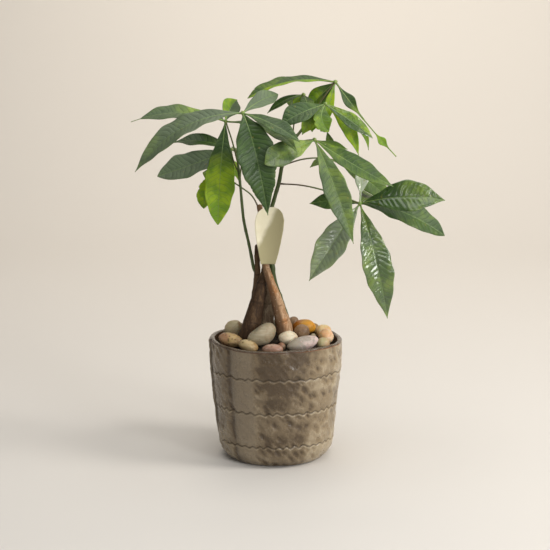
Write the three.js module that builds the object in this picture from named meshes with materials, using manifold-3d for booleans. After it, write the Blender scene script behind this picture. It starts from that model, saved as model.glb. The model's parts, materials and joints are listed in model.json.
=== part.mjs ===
// Potted money tree: five leaning trunks, two green shoots and ten palmate leaves
// in a hand-built glazed stoneware pot, with pebbles on its soil and a blank paper tag.
// Millimetres, +Z up, +X to the right and -Y to the front.
// The origin is the middle of the pot's underside, where the pot stands.
import * as THREE from "three";
import { mergeVertices } from "three/addons/utils/BufferGeometryUtils.js";
import Module from "manifold-3d";

const wasm = await Module();
wasm.setup();

// Free space kept between neighbouring pieces
const GAP = 0.3;

// Pot: heights and outer radii of the turned body, before its relief
const POT_HEIGHT = 124;
const POT_WALL = 5.5;
const POT_FLOOR = 8;
const POT_FOOT = 3;
const POT_COLUMNS = 72;
const POT_PROFILE = [
  [47, 0],
  [51.5, 1.6],
  [56, 6.5],
  [59.2, 14],
  [60.8, 30],
  [62.6, 52],
  [65.8, 78],
  [67.6, 102],
  [68.2, POT_HEIGHT],
];
const POT_RINGS = [0, 1.6, 7, 12.5, 31, 43, 67, 79, 103, 115];
const RIM_SWAY = 1.6;
const RIM_BAND = 8;
const RIM_ROUNDING = 1;
const RIM_INNER_DROP = 2.5;
const INNER_RINGS = [113, 60, 20];
const INNER_FOOT_ROUNDING = 5;
const HAMMER_DEPTH = 0.8;
const HAMMER_COLUMNS = [11, 7];
const HAMMER_ROWS = [0.16, 0.21];
const HAMMER_SIDE = 0.6;
const GROOVE_HEIGHTS = [20.5, 56.5, 92.5];
const GROOVE_RISE = 2.5;
const GROOVE_DEPTH = 1.5;
const GROOVE_HALF_WIDTH = 2.2;
const GROOVE_WAVE = 1.3;
const SEAM_ANGLE = 189;
const SEAM_SPAN = 46;
const SEAM_STEP = 1.4;
const SEAM_FOOT = 24;
const SEAM_FULL = 40;
const CREASE_ANGLE = 225;
const CREASE_SPAN = 4;
const CREASE_DEPTH = 1.1;

// Soil: a low mound that fills the pot
const SOIL_EDGE_HEIGHT = 114;
const SOIL_CROWN_HEIGHT = 128;
const SOIL_RADIUS = 61.5;
const SOIL_COLUMNS = 32;
const SOIL_CLEARANCE = 1;
const TRUNK_FOOT_DEPTH = 18;

// Leaf blades and stalks
const BLADE_THICKNESS = 0.7;
const BLADE_STATIONS = 8;
const PINCHED_STATIONS = 15;
const BLADE_FOLD = 0.22;
const BLADE_RIPPLE = 0.1;
const BLADE_WAVES = 9;
const BLADE_WAVE_SHIFT = 2.1;
const RIB_HALF_WIDTH = 0.9;
const TIP_HALF_WIDTH = 0.35;
const STALK_RADIUS = 1.05;
const HUB_RADIUS = 2.5;
const STALK_SIDES = 6;
const STALK_STATIONS = 7;

// Paper tag
const TAG_THICKNESS = 0.7;
const TAG_FRONT = -17.2;
const TAG_HOLLOW = 0.018;

const BARK = { color: 0x7a5138, roughness: 0.75, metalness: 0 };
const GREEN_BARK = { color: 0x3c4a24, roughness: 0.6, metalness: 0 };
const LEAF = { color: 0x2f5a2c, roughness: 0.4, metalness: 0 };
const GLAZE = { color: 0x8a7d6b, roughness: 0.25, metalness: 0 };
const EARTH = { color: 0x2e2118, roughness: 0.95, metalness: 0 };
const PAPER = { color: 0xd8d2b4, roughness: 0.8, metalness: 0 };

// Directions that a blade's upper face looks in
const FRONT = [0.1, -1, 0.2];
const UP = [0, -0.4, 1];
const SLOPE = [0.1, -1, 1];

const group = new THREE.Group();

function addPiece(name, solid, finish) {
  const geometry = geometryOf(solid);
  const mesh = new THREE.Mesh(geometry, new THREE.MeshStandardMaterial(finish));
  mesh.name = name;
  group.add(mesh);
}

function randomDraws(seed) {
  let state = seed;
  return () => {
    state = (state * 1664525 + 1013904223) % 4294967296;
    return state / 4294967296;
  };
}

function solidOf(geometry) {
  const bare = geometry.clone();
  bare.deleteAttribute("normal");
  bare.deleteAttribute("uv");
  const merged = mergeVertices(bare, 1e-4);
  const vertProperties = Float32Array.from(merged.attributes.position.array);
  const triVerts = Uint32Array.from(merged.index.array);
  return new wasm.Manifold(new wasm.Mesh({ numProp: 3, vertProperties, triVerts }));
}

function geometryOf(solid) {
  const mesh = solid.getMesh();
  const geometry = new THREE.BufferGeometry();
  geometry.setAttribute("position", new THREE.Float32BufferAttribute(mesh.vertProperties, 3));
  geometry.setIndex(Array.from(mesh.triVerts));
  geometry.computeVertexNormals();
  return geometry;
}

// A closed skin through rings of equal length, with a cap on the first and the last.
// A folded sheet has its second half split the other way, so both faces bend alike.
function loft(rings, isSheet = false) {
  const count = rings[0].length;
  const points = rings.flat();
  const faces = [];
  for (let k = 0; k + 1 < rings.length; k += 1) {
    for (let j = 0; j < count; j += 1) {
      const next = (j + 1) % count;
      const [a, b] = [k * count + j, k * count + next];
      const [c, d] = [a + count, b + count];
      if (isSheet && j >= count / 2) {
        faces.push([a, b, c], [b, d, c]);
      } else {
        faces.push([a, b, d], [a, d, c]);
      }
    }
  }
  const last = (rings.length - 1) * count;
  const firstMiddle = points.push(middleOf(rings[0])) - 1;
  const lastMiddle = points.push(middleOf(rings[rings.length - 1])) - 1;
  for (let j = 0; j < count; j += 1) {
    const next = (j + 1) % count;
    faces.push([next, j, firstMiddle], [last + j, last + next, lastMiddle]);
  }
  return outward(points, faces);
}

function middleOf(ring) {
  const middle = new THREE.Vector3();
  ring.forEach((point) => middle.add(point));
  return middle.divideScalar(ring.length);
}

// Builds the geometry with its faces turned out, whichever way the rings ran
function outward(points, faces) {
  let volume = 0;
  for (const [a, b, c] of faces) {
    volume += points[a].dot(new THREE.Vector3().crossVectors(points[b], points[c]));
  }
  const turned = volume < 0 ? faces.map(([a, b, c]) => [a, c, b]) : faces;
  const geometry = new THREE.BufferGeometry();
  geometry.setAttribute(
    "position",
    new THREE.Float32BufferAttribute(points.flatMap((point) => point.toArray()), 3),
  );
  geometry.setIndex(turned.flat());
  return geometry;
}

// A round stem along a smooth curve through its points, each point [x, y, z, radius].
// Extra makes it fatter and longer by that much, for cutting a neighbour clear of it.
function stem(points, sides, stations, extra = 0) {
  const curve = new THREE.CatmullRomCurve3(
    points.map(([x, y, z]) => new THREE.Vector3(x, y, z)),
  );
  const frames = curve.computeFrenetFrames(stations, false);
  const rings = [];
  for (let k = 0; k <= stations; k += 1) {
    const along = curve.getUtoTmapping(k / stations) * (points.length - 1);
    const low = Math.min(Math.floor(along), points.length - 2);
    const radius = THREE.MathUtils.lerp(points[low][3], points[low + 1][3], along - low);
    const reach = (k === stations ? extra : 0) - (k === 0 ? extra : 0);
    const centre = curve.getPointAt(k / stations).addScaledVector(frames.tangents[k], reach);
    rings.push(circle(centre, frames, k, radius + extra, sides));
  }
  return solidOf(loft(rings));
}

function circle(centre, frames, k, radius, sides) {
  const ring = [];
  for (let j = 0; j < sides; j += 1) {
    const angle = (2 * Math.PI * j) / sides;
    const point = centre.clone();
    point.addScaledVector(frames.normals[k], radius * Math.cos(angle));
    point.addScaledVector(frames.binormals[k], radius * Math.sin(angle));
    ring.push(point);
  }
  return ring;
}

function knuckle(centre, radius) {
  const geometry = new THREE.IcosahedronGeometry(radius, 0);
  geometry.translate(...centre);
  return solidOf(geometry);
}

// Pot

function potRadius(height) {
  const above = POT_PROFILE.findIndex(([, z]) => z >= height);
  const [r0, z0] = POT_PROFILE[Math.max(above - 1, 0)];
  const [r1, z1] = POT_PROFILE[Math.max(above, 1)];
  return THREE.MathUtils.lerp(r0, r1, (height - z0) / (z1 - z0));
}

// The outer slab's free edge: a sharp step at the left that fades out round the back
function seamStep(degrees, height) {
  const behind = SEAM_ANGLE - degrees;
  if (behind < 0 || behind > SEAM_SPAN) {
    return 0;
  }
  const fade = 1 - behind / SEAM_SPAN;
  return SEAM_STEP * fade * THREE.MathUtils.smoothstep(height, SEAM_FOOT, SEAM_FULL);
}

// An upright dent where the slab's inner end was pressed on
function crease(degrees) {
  return CREASE_DEPTH * Math.exp(-(((degrees - CREASE_ANGLE) / CREASE_SPAN) ** 2));
}

// Thumb dents, strongest towards the right of the front
function hammered(degrees, height) {
  const turn = (degrees * Math.PI) / 180;
  const slant = Math.sin(HAMMER_COLUMNS[0] * turn + HAMMER_ROWS[0] * height);
  const cross = Math.sin(HAMMER_ROWS[1] * height - HAMMER_COLUMNS[1] * turn);
  const strength = 0.6 + 0.4 * Math.cos(turn + HAMMER_SIDE);
  return HAMMER_DEPTH * strength * (slant * cross);
}

function potRing(height, depth, wave) {
  const ring = [];
  for (let j = 0; j < POT_COLUMNS; j += 1) {
    const degrees = (360 * j) / POT_COLUMNS;
    const turn = (degrees * Math.PI) / 180;
    const level = height / POT_HEIGHT;
    const raised = hammered(degrees, height) + seamStep(degrees, height) - crease(degrees);
    const relief = height > POT_FOOT ? raised : 0;
    const radius = potRadius(height) + relief - depth;
    const side = j % 2 === 0 ? GROOVE_WAVE : -GROOVE_WAVE;
    const zigzag = wave * (side - GROOVE_RISE * Math.sin(turn));
    const sway = RIM_SWAY * level ** RIM_BAND * Math.sin(2 * turn + 1.1) * Math.cos(turn - 2.6);
    const z = height + zigzag + sway;
    ring.push(new THREE.Vector3(radius * Math.cos(turn), radius * Math.sin(turn), z));
  }
  return ring;
}

function potOuterRings() {
  const stops = POT_RINGS.map((height) => [height, 0, 0]);
  for (const height of GROOVE_HEIGHTS) {
    stops.push([height - GROOVE_HALF_WIDTH, 0, 1]);
    stops.push([height, GROOVE_DEPTH, 1]);
    stops.push([height + GROOVE_HALF_WIDTH, 0, 1]);
  }
  stops.sort((first, second) => first[0] - second[0]);
  return stops.map(([height, depth, wave]) => potRing(height, depth, wave));
}

function plainRing(radius, height) {
  const ring = [];
  for (let j = 0; j < POT_COLUMNS; j += 1) {
    const turn = (2 * Math.PI * j) / POT_COLUMNS;
    ring.push(new THREE.Vector3(radius * Math.cos(turn), radius * Math.sin(turn), height));
  }
  return ring;
}

function innerRadius(height) {
  return potRadius(height) - POT_WALL;
}

function floorRadius() {
  return innerRadius(INNER_RINGS[2]) - INNER_FOOT_ROUNDING;
}

function makePot() {
  const rings = potOuterRings();
  rings.push(potRing(POT_HEIGHT, RIM_ROUNDING, 0));
  rings.push(potRing(POT_HEIGHT, POT_WALL - RIM_ROUNDING, 0));
  const rimInside = potRing(POT_HEIGHT - RIM_INNER_DROP, POT_WALL, 0);
  rings.push(rimInside.map((point) => settleInside(point)));
  INNER_RINGS.forEach((height) => rings.push(plainRing(innerRadius(height), height)));
  rings.push(plainRing(floorRadius(), POT_FLOOR));
  addPiece("pot", solidOf(loft(rings)), GLAZE);
}

// Keeps the rim's inner edge on the round inner wall
function settleInside(point) {
  const radius = Math.hypot(point.x, point.y);
  const scale = innerRadius(POT_HEIGHT) / radius;
  return new THREE.Vector3(point.x * scale, point.y * scale, point.z);
}

// Trunks: points [x, y, z, radius] from the foot up

const SOIL_FOOT = SOIL_CROWN_HEIGHT - TRUNK_FOOT_DEPTH;
const TRUNKS = {
  trunk_front_left: [
    [-33, -13, SOIL_FOOT, 8.5],
    [-30, -12.5, 126, 9.6],
    [-25.5, -12, 139, 9.6],
    [-20, -9.5, 161, 7.4],
    [-16, -7, 178, 5.2],
    [-11.5, -4, 194, 4],
    [-8.5, -2, 215, 3.4],
    [-7, -1, 234, 3],
  ],
  trunk_front_right: [
    [11.5, -14, SOIL_FOOT, 7.6],
    [10, -14, 126, 8.6],
    [7.6, -14, 140, 8.4],
    [3.6, -14, 155, 6.7],
    [-0.5, -14, 170, 5.5],
    [-6, -13.5, 186.5, 4.2],
    [-11, -12, 203, 3.2],
    [-14, -12, 228, 3],
    [-16.5, -10.5, 263, 2.8],
  ],
  trunk_middle: [
    [-10.5, -2.5, SOIL_FOOT, 6.6],
    [-10.3, -1.5, 131, 7],
    [-8.8, 1.5, 150, 5.6],
    [-8, 4.5, 168, 4.2],
    [-10.5, 7.5, 188, 3.4],
    [-12, 8.5, 212, 3],
  ],
  trunk_back_left: [
    [-27, 15, SOIL_FOOT, 6.4],
    [-25.5, 14, 129, 6.8],
    [-22, 10.5, 160, 4.6],
    [-20, 6.5, 182, 3.2],
    [-19.3, 5, 200, 2.8],
    [-19.3, 5, 220, 2.5],
  ],
  trunk_back_right: [
    [12, 15.5, SOIL_FOOT, 6],
    [10.5, 15, 129, 6.4],
    [4, 10, 160, 4.4],
    [-1.8, 5.5, 180, 3.2],
    [-3.6, 4, 194, 2.9],
    [-5.5, 6.5, 212, 2.6],
    [-6, 7.5, 232, 2.4],
  ],
};
const TRUNK_SIDES = 10;
const TRUNK_STATIONS = 11;

function trunkSolid(name, extra = 0) {
  return stem(TRUNKS[name], TRUNK_SIDES, TRUNK_STATIONS, extra);
}

function makeTrunks() {
  for (const name of Object.keys(TRUNKS)) {
    const finish = name === "trunk_back_right" ? GREEN_BARK : BARK;
    addPiece(name, trunkSolid(name), finish);
  }
}

// Green shoots: each rises from a trunk, and its foot is cut to the trunk with a gap

const SHOOTS = {
  shoot_left: {
    trunk: "trunk_back_left",
    points: [
      [-20.5, 6, 190, 1.5],
      [-22.9, 6, 196, 1.9],
      [-25.3, 6, 208, 1.9],
      [-28, 5, 222, 1.8],
      [-33, 4, 246, 1.9],
      [-36, 2.5, 278, 1.6],
      [-38.5, 3, 304, 1.5],
    ],
  },
  shoot_right: {
    trunk: "trunk_front_left",
    points: [
      [-7, -1, 234, 2.9],
      [-6.2, 0, 252, 2.7],
      [-1.5, 0, 270, 2.5],
      [3, 0, 286, 2.6],
      [6.5, 1, 304, 2.3],
      [13, 2, 319, 1.9],
      [21, 3, 334, 1.7],
    ],
  },
};
const SHOOT_SIDES = 8;
const SHOOT_STATIONS = 12;

function shootSolid(name, extra = 0) {
  return stem(SHOOTS[name].points, SHOOT_SIDES, SHOOT_STATIONS, extra);
}

function makeShoots() {
  for (const [name, { trunk }] of Object.entries(SHOOTS)) {
    const solid = shootSolid(name).subtract(trunkSolid(trunk, GAP));
    addPiece(name, solid, GREEN_BARK);
  }
}

// Leaves: a stalk from its carrier to the hub, and leaflets spread round the hub.
// A leaflet is [point half way, tip, width, direction its face looks in, outline].

const LEAVES = {
  leaf_left_hanging: {
    carrier: "shoot_left",
    stalk: [[-38.5, 3, 303], [-44, 3, 326], [-51, 2, 348]],
    leaflets: [
      [[-56, -14, 298], [-59, -12, 244], 30, FRONT, blunt],
      [[-99, 6, 356], [-147, 4, 347], 22, [0, -0.6, 1], tailed],
      [[-7, -35, 343], [20, -80, 326], 18, UP],
      [[-46.5, 22, 359.5], [-40, 36, 367], 20, FRONT],
      [[-74, 40, 349], [-91, 74, 334], 25, UP],
    ],
  },
  leaf_left_lower: {
    carrier: "shoot_left",
    stalk: [[-37.5, 3, 294], [-43, 7, 306], [-46, 9, 318]],
    leaflets: [
      [[-82, -2, 305.5], [-120, -8, 293], 31, SLOPE, blunt],
      [[-74, 16, 326], [-107, 24, 324], 24, UP],
      [[-36, 44, 312], [-33, 66, 288], 22, UP],
    ],
  },
  leaf_left_inner: {
    carrier: "trunk_front_right",
    stalk: [[-16.3, -10.5, 258], [-25, 4, 272], [-44, 13, 285], [-54, 15, 295]],
    leaflets: [
      [[-69, 9, 279], [-74, 6, 258], 20, FRONT, blunt],
      [[-45, 25, 299], [-39, 31, 284], 13, [0.3, -1, 0.2]],
      [[-65, 42, 294], [-74, 60, 279], 20, UP],
    ],
  },
  leaf_front_left: {
    carrier: "shoot_left",
    stalk: [[-37, 3, 289], [-33.5, -10, 315], [-31, -20, 338], [-33, -30, 359]],
    leaflets: [
      [[-91, -34, 345], [-140, -36, 301], 32, [-0.2, -0.7, 1]],
      [[-20.5, -56, 324], [-8, -52, 260], 38, FRONT],
      [[-3, -56, 350], [23, -74, 335], 19, [0.3, -1, 1]],
      [[-15, -14, 370], [2, 4, 375], 18, [0, -1, 0.6], blunt],
    ],
  },
  leaf_top: {
    carrier: "shoot_right",
    stalk: [[20.7, 3, 333], [34, 6, 351], [50, 8, 374], [60, 10, 387]],
    leaflets: [
      [[12, 14, 387], [-29, 14, 370], 23, [0, -0.35, 1], blunt],
      [[89, 6, 349], [122, 2, 312], 11, FRONT, pinched],
      [[44, 12, 372], [30, 14, 358], 20, [-0.6, -1, 0.2]],
      [[54, 6, 365], [51, 4, 345], 10, FRONT],
      [[50, 40, 373], [41, 68, 352], 18, UP],
    ],
  },
  leaf_upper_right: {
    carrier: "shoot_right",
    stalk: [[18, 2.5, 328], [31, -8, 345], [43, -17, 359], [49, -22, 367]],
    leaflets: [
      [[24, -35, 359], [4.5, -40, 347.5], 28, [0, -0.8, 1]],
      [[45, -34, 354], [52, -38, 341], 19, FRONT, blunt],
      [[39, -20, 353], [36, -20, 339], 16, FRONT],
      [[35.5, -27, 353.5], [26, -27, 337], 16, FRONT],
      [[75, -27, 350], [96, -30, 334], 18, [0.5, -1, 0.8]],
      [[70, -16, 346], [83, -14, 315], 14, FRONT],
      [[82, 0, 347], [94, 6, 318], 8, FRONT],
    ],
  },
  leaf_front_right: {
    carrier: "shoot_right",
    stalk: [[12, 2, 317], [27, -14, 329], [38, -36, 333]],
    leaflets: [
      [[57, -62, 290], [76, -66, 234], 24, FRONT],
      [[77, -50, 309.5], [115, -54, 289], 23, SLOPE],
      [[56, -30, 327], [71, -30, 323], 14, UP],
      [[12, -60, 324], [-11, -69, 312.5], 28, SLOPE, blunt],
    ],
  },
  leaf_right: {
    carrier: "shoot_right",
    stalk: [[2.6, 0, 284.6], [29, -12, 284], [60, -21, 277], [84, -26, 268]],
    leaflets: [
      [[127, -42, 277], [167, -46, 274], 32, [0, -1, 0.5]],
      [[125, -28, 260.5], [170, -24, 235], 31, SLOPE, blunt],
      [[99.5, -46, 214], [112, -44, 154], 30, FRONT],
      [[58.5, -40, 232.5], [33, -42, 192], 30, [-0.3, -1, 0.2]],
      [[86, -12, 286], [88, 0, 303], 14, FRONT, stalked],
      [[58, -14, 269], [34, -6, 265], 18, [0, -1, 0.5]],
      [[99, 14, 270], [113, 44, 255], 26, UP],
    ],
  },
  leaf_upper_middle: {
    carrier: "shoot_right",
    stalk: [[16.5, 2.5, 325], [19, 14, 348], [28, 22, 373]],
    leaflets: [
      [[9, 16, 368], [-9, 12, 355], 10, [0, -0.8, 1]],
      [[22, 18, 367], [21, 14, 356], 9, FRONT],
      [[31, 3, 367], [33, -12, 357], 14, UP],
      [[20, 44, 368], [14, 64, 358], 18, UP],
    ],
  },
  leaf_back_right: {
    carrier: "shoot_right",
    stalk: [[6.5, 1, 303], [27, 4, 309], [46, 7, 310], [62, 10, 307]],
    leaflets: [
      [[93.5, 0, 287.5], [120, -4, 263], 23, [0.3, -1, 0.6]],
      [[47, -6, 308], [34, -14, 303], 12, UP],
      [[56, 10, 322], [52, 8, 337], 9, FRONT],
      [[72, 42, 306], [81, 66, 288], 24, UP],
    ],
  },
};

// Blade outlines: the width at a share of the length, as a part of the full width

// A narrow foot, a full middle and a drip tip
function oval(share) {
  return Math.sin(Math.PI * share ** 1.15) ** 1.15;
}

// Full to near the end, with a round tip
function blunt(share) {
  return Math.sin(Math.PI * share ** 1.4) ** 0.8;
}

// As blunt, with a thin drip tip
function tailed(share) {
  return share < 0.9 ? blunt(share / 0.9) : 0;
}

// An oval on a short stalk of its own
function stalked(share) {
  return share > 0.2 ? oval((share - 0.2) / 0.8) : 0;
}

// A short blade, a thread of rib, a small diamond and a tail, as on a leaf that grew cramped
function pinched(share) {
  const upper = Math.exp(-(((share - 0.25) / 0.11) ** 2));
  const lower = 0.7 * Math.exp(-(((share - 0.79) / 0.05) ** 2));
  return 0.1 + upper + lower;
}

function halfWidth(share, width, outline) {
  const least = share < 0.5 ? RIB_HALF_WIDTH : TIP_HALF_WIDTH;
  return Math.max(0.5 * width * outline(share), least);
}

function blade(hub, [middle, tip, width, face, outline = oval], phase) {
  const start = new THREE.Vector3(...hub);
  const end = new THREE.Vector3(...tip);
  const pull = new THREE.Vector3(...middle).multiplyScalar(2);
  pull.addScaledVector(start, -0.5).addScaledVector(end, -0.5);
  const rib = new THREE.QuadraticBezierCurve3(start, pull, end);
  const facing = new THREE.Vector3(...face).normalize();
  const stations = outline === pinched ? PINCHED_STATIONS : BLADE_STATIONS;
  const rings = [];
  for (let k = 0; k < stations; k += 1) {
    const share = k / (stations - 1);
    rings.push(bladeSection(rib, share, halfWidth(share, width, outline), facing, phase));
  }
  return solidOf(loft(rings, true));
}

function bladeSection(rib, share, half, facing, phase) {
  const centre = rib.getPoint(share);
  const side = new THREE.Vector3().crossVectors(rib.getTangent(share), facing).normalize();
  const normal = new THREE.Vector3().crossVectors(side, rib.getTangent(share)).normalize();
  const ripple = BLADE_RIPPLE * Math.sin(BLADE_WAVES * share + phase);
  const place = (across, lift) => {
    const rise = Math.abs(across) * (BLADE_FOLD + Math.sign(across) * ripple) + lift;
    return centre.clone().addScaledVector(side, across).addScaledVector(normal, rise);
  };
  const top = 0.5 * BLADE_THICKNESS;
  return [
    place(-half, top),
    place(0, top),
    place(half, top),
    place(half, -top),
    place(0, -top),
    place(-half, -top),
  ];
}

function carrierSolid(name) {
  return name in TRUNKS ? trunkSolid(name, GAP) : shootSolid(name, GAP);
}

function leafSolid({ carrier, stalk, leaflets }) {
  const hub = stalk[stalk.length - 1];
  const route = stalk.map((point) => [...point, STALK_RADIUS]);
  let solid = stem(route, STALK_SIDES, STALK_STATIONS).subtract(carrierSolid(carrier));
  solid = solid.add(knuckle(hub, HUB_RADIUS));
  leaflets.forEach((leaflet, index) => {
    solid = solid.add(blade(hub, leaflet, BLADE_WAVE_SHIFT * index));
  });
  return solid;
}

function makeLeaves() {
  for (const [name, leaf] of Object.entries(LEAVES)) {
    addPiece(name, leafSolid(leaf), LEAF);
  }
}

// Soil with a plain hole for each trunk's foot

function soilTop(radius) {
  const fall = SOIL_CROWN_HEIGHT - SOIL_EDGE_HEIGHT;
  return SOIL_CROWN_HEIGHT - fall * (radius / SOIL_RADIUS) ** 2;
}

function makeSoil() {
  const [, middle, low] = INNER_RINGS;
  const profile = [
    [0, POT_FLOOR + GAP],
    [floorRadius() - GAP, POT_FLOOR + GAP],
    [innerRadius(low) - SOIL_CLEARANCE, low],
    [innerRadius(middle) - SOIL_CLEARANCE, middle],
    [SOIL_RADIUS, SOIL_EDGE_HEIGHT],
    [40, soilTop(40)],
    [20, soilTop(20)],
    [0, SOIL_CROWN_HEIGHT],
  ];
  const outline = profile.map(([radius, height]) => new THREE.Vector2(radius, height));
  const body = new THREE.LatheGeometry(outline, SOIL_COLUMNS);
  body.rotateX(Math.PI / 2);
  let solid = solidOf(body);
  for (const name of Object.keys(TRUNKS)) {
    solid = solid.subtract(trunkSolid(name, GAP));
  }
  addPiece("soil", solid, EARTH);
}

// Pebbles: [x, y, half length, half width, half height, turn, tilt, colour]

const PEBBLES = {
  pebble_grey_green: [-43, 10, 11, 9, 9, 20, 0, 0x8a8468],
  pebble_speckled: [-47, -23, 14, 8, 7, -30, 8, 0xa08040],
  pebble_tan: [-27, -44, 11, 7, 6, -30, 8, 0xb09468],
  pebble_pale_large: [-14.5, -35, 14, 9, 11, 10, -24, 0xc8c0a4],
  pebble_white_egg: [12.5, -34, 10, 7.5, 7.4, 5, 0, 0xdccfb4],
  pebble_pink: [-4, -54, 11, 5.5, 5.5, 0, 0, 0xb08468],
  pebble_lilac: [27, -44, 17, 7.5, 7.4, 20, -10, 0xc0b8b4],
  pebble_amber: [29, 7, 12.5, 9, 8, 5, 0, 0xd09030],
  pebble_brown_grey: [26, -14, 8, 7.5, 8, 0, 0, 0x8a7460],
  pebble_pale_yellow: [49, 12, 10.5, 8, 7.5, 70, 0, 0xd8c088],
  pebble_peach: [51, -8, 9.5, 8, 8, 80, 0, 0xe0b080],
  pebble_greenish: [48.5, -25, 8, 6.5, 6, 60, 0, 0xc8c090],
  pebble_dark: [5.5, -45, 4.5, 3.6, 4.2, 0, 0, 0x5a4030],
  pebble_middle: [-9, -19, 7, 5, 5, 0, 0, 0x8a8068],
  pebble_inner_brown: [18.5, 26, 7, 6.5, 8, 30, 0, 0x6a4a34],
  pebble_inner_grey: [-8, 28, 9, 7, 6.5, -10, 0, 0x8c8878],
  pebble_inner_tan: [-25, 28, 6.5, 6, 6, 20, 0, 0xb09870],
};
const LARGE_PEBBLE = 12;
const PEBBLE_UNEVENNESS = 0.16;
const STONE = { roughness: 0.45, metalness: 0 };

// The row behind, against the pot's far side
const BACK_PEBBLES = 6;
const BACK_RING = 50;
const BACK_FROM = 40;
const BACK_TO = 142;
const BACK_LENGTH = 7.5;
const BACK_WIDTH = 8;
const BACK_HEIGHT = 5.5;
const BACK_COLOURS = [0xb8a078, 0x8c8878, 0xd0c4a8, 0x7a6450];

// Small pebbles in the gaps: [x, y, radius]
const SMALL_PEBBLES = [
  [29.5, 24, 4.5],
  [-47, -6.5, 5],
  [38.5, -5, 3.8],
  [-30, -28.5, 3.4],
  [-34.5, 20.5, 4],
  [6.5, 29, 4],
  [-8, 13.5, 4.8],
  [4, 2, 4.6],
];

// The height at which a pebble's middle rests on the sloping soil
function restingHeight(x, y, length, height) {
  const radius = Math.hypot(x, y);
  const slope = (2 * (SOIL_CROWN_HEIGHT - SOIL_EDGE_HEIGHT) * radius) / SOIL_RADIUS ** 2;
  return soilTop(radius) + Math.hypot(height, slope * length) + GAP;
}

function pebbleSolid([x, y, length, width, height, turn, tilt], detail, draw) {
  const geometry = new THREE.IcosahedronGeometry(1, detail);
  const place = geometry.attributes.position;
  const lean = new THREE.Vector3(draw() - 0.5, draw() - 0.5, draw() - 0.5);
  for (let k = 0; k < place.count; k += 1) {
    const point = new THREE.Vector3().fromBufferAttribute(place, k);
    point.multiplyScalar(1 + PEBBLE_UNEVENNESS * point.dot(lean));
    place.setXYZ(k, point.x, point.y, point.z);
  }
  geometry.scale(length, width, height);
  geometry.rotateY(THREE.MathUtils.degToRad(tilt));
  geometry.rotateZ(THREE.MathUtils.degToRad(turn));
  geometry.translate(x, y, restingHeight(x, y, length, height));
  return solidOf(geometry);
}

function makePebbles() {
  const draw = randomDraws(7);
  for (const [name, pebble] of Object.entries(PEBBLES)) {
    const [, , length, , , , , color] = pebble;
    const detail = length > LARGE_PEBBLE ? 2 : 1;
    addPiece(name, pebbleSolid(pebble, detail, draw), { color, ...STONE });
  }
  for (let k = 0; k < BACK_PEBBLES; k += 1) {
    const degrees = BACK_FROM + (k * (BACK_TO - BACK_FROM)) / (BACK_PEBBLES - 1);
    const turn = THREE.MathUtils.degToRad(degrees);
    const [x, y] = [BACK_RING * Math.cos(turn), BACK_RING * Math.sin(turn)];
    const [length, height] = [BACK_LENGTH + 1.5 * draw(), BACK_HEIGHT + 2.5 * draw()];
    const color = BACK_COLOURS[k % BACK_COLOURS.length];
    const pebble = [x, y, length, BACK_WIDTH, height, degrees, 0];
    addPiece(`pebble_back_${k + 1}`, pebbleSolid(pebble, 1, draw), { color, ...STONE });
  }
  SMALL_PEBBLES.forEach(([x, y, radius], k) => {
    const color = BACK_COLOURS[k % BACK_COLOURS.length];
    const pebble = [x, y, radius, 0.9 * radius, 0.85 * radius, 60 * k, 0];
    addPiece(`pebble_small_${k + 1}`, pebbleSolid(pebble, 1, draw), { color, ...STONE });
  });
}

// Paper tag: a petal of stiff paper, hollow to the front, with an open loop round a trunk

const TAG_OUTLINE = [
  [204.5, -15.3, -0.8],
  [216, -17.6, 2.4],
  [228, -19.6, 5],
  [240, -21, 7.2],
  [250, -21, 8.1],
  [257, -18.8, 6.4],
  [261, -14.5, 3],
  [263, -9, -2],
];
const TAG_MIDDLE = -7;
const LOOP_CENTRE = [-13.6, -12];
const LOOP_HEIGHT = 224;
const LOOP_WIDTH = 7;
const LOOP_RADIUS = 3.7;
const LOOP_LONG_LEG = 7;
const LOOP_SHORT_LEG = 2.5;

function tagSection(z, left, right) {
  const columns = [0, 1, 2, 3, 4].map((step) => left + ((right - left) * step) / 4);
  const sheet = (x, back) => {
    const y = TAG_FRONT - TAG_HOLLOW * (x - TAG_MIDDLE) ** 2 + back;
    return new THREE.Vector3(x, y, z);
  };
  const front = columns.map((x) => sheet(x, 0));
  const back = columns.reverse().map((x) => sheet(x, TAG_THICKNESS));
  return [...front, ...back];
}

function tagLoop() {
  const strip = new THREE.Shape();
  const outer = LOOP_RADIUS + TAG_THICKNESS;
  strip.moveTo(-outer, -LOOP_LONG_LEG);
  strip.lineTo(-outer, 0);
  strip.absarc(0, 0, outer, Math.PI, 0, true);
  strip.lineTo(outer, -LOOP_SHORT_LEG);
  strip.lineTo(LOOP_RADIUS, -LOOP_SHORT_LEG);
  strip.lineTo(LOOP_RADIUS, 0);
  strip.absarc(0, 0, LOOP_RADIUS, 0, Math.PI, false);
  strip.lineTo(-LOOP_RADIUS, -LOOP_LONG_LEG);
  strip.closePath();
  const geometry = new THREE.ExtrudeGeometry(strip, {
    depth: LOOP_WIDTH,
    bevelEnabled: false,
    curveSegments: 8,
  });
  geometry.translate(...LOOP_CENTRE, LOOP_HEIGHT - LOOP_WIDTH / 2);
  return solidOf(geometry);
}

function makeTag() {
  const sheet = loft(TAG_OUTLINE.map(([z, left, right]) => tagSection(z, left, right)), true);
  addPiece("paper_tag", solidOf(sheet).add(tagLoop()), PAPER);
}

makePot();
makeTrunks();
makeShoots();
makeLeaves();
makeSoil();
makePebbles();
makeTag();

export default group;
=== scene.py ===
# Potted money tree: palmate leaves, leaning trunks, glazed pot, river pebbles and a paper tag
import json
import math
from collections import namedtuple

import bmesh
import bpy
from bpy.props import FloatProperty, FloatVectorProperty, IntProperty, PointerProperty
from mathutils import Matrix, Vector, noise


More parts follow.
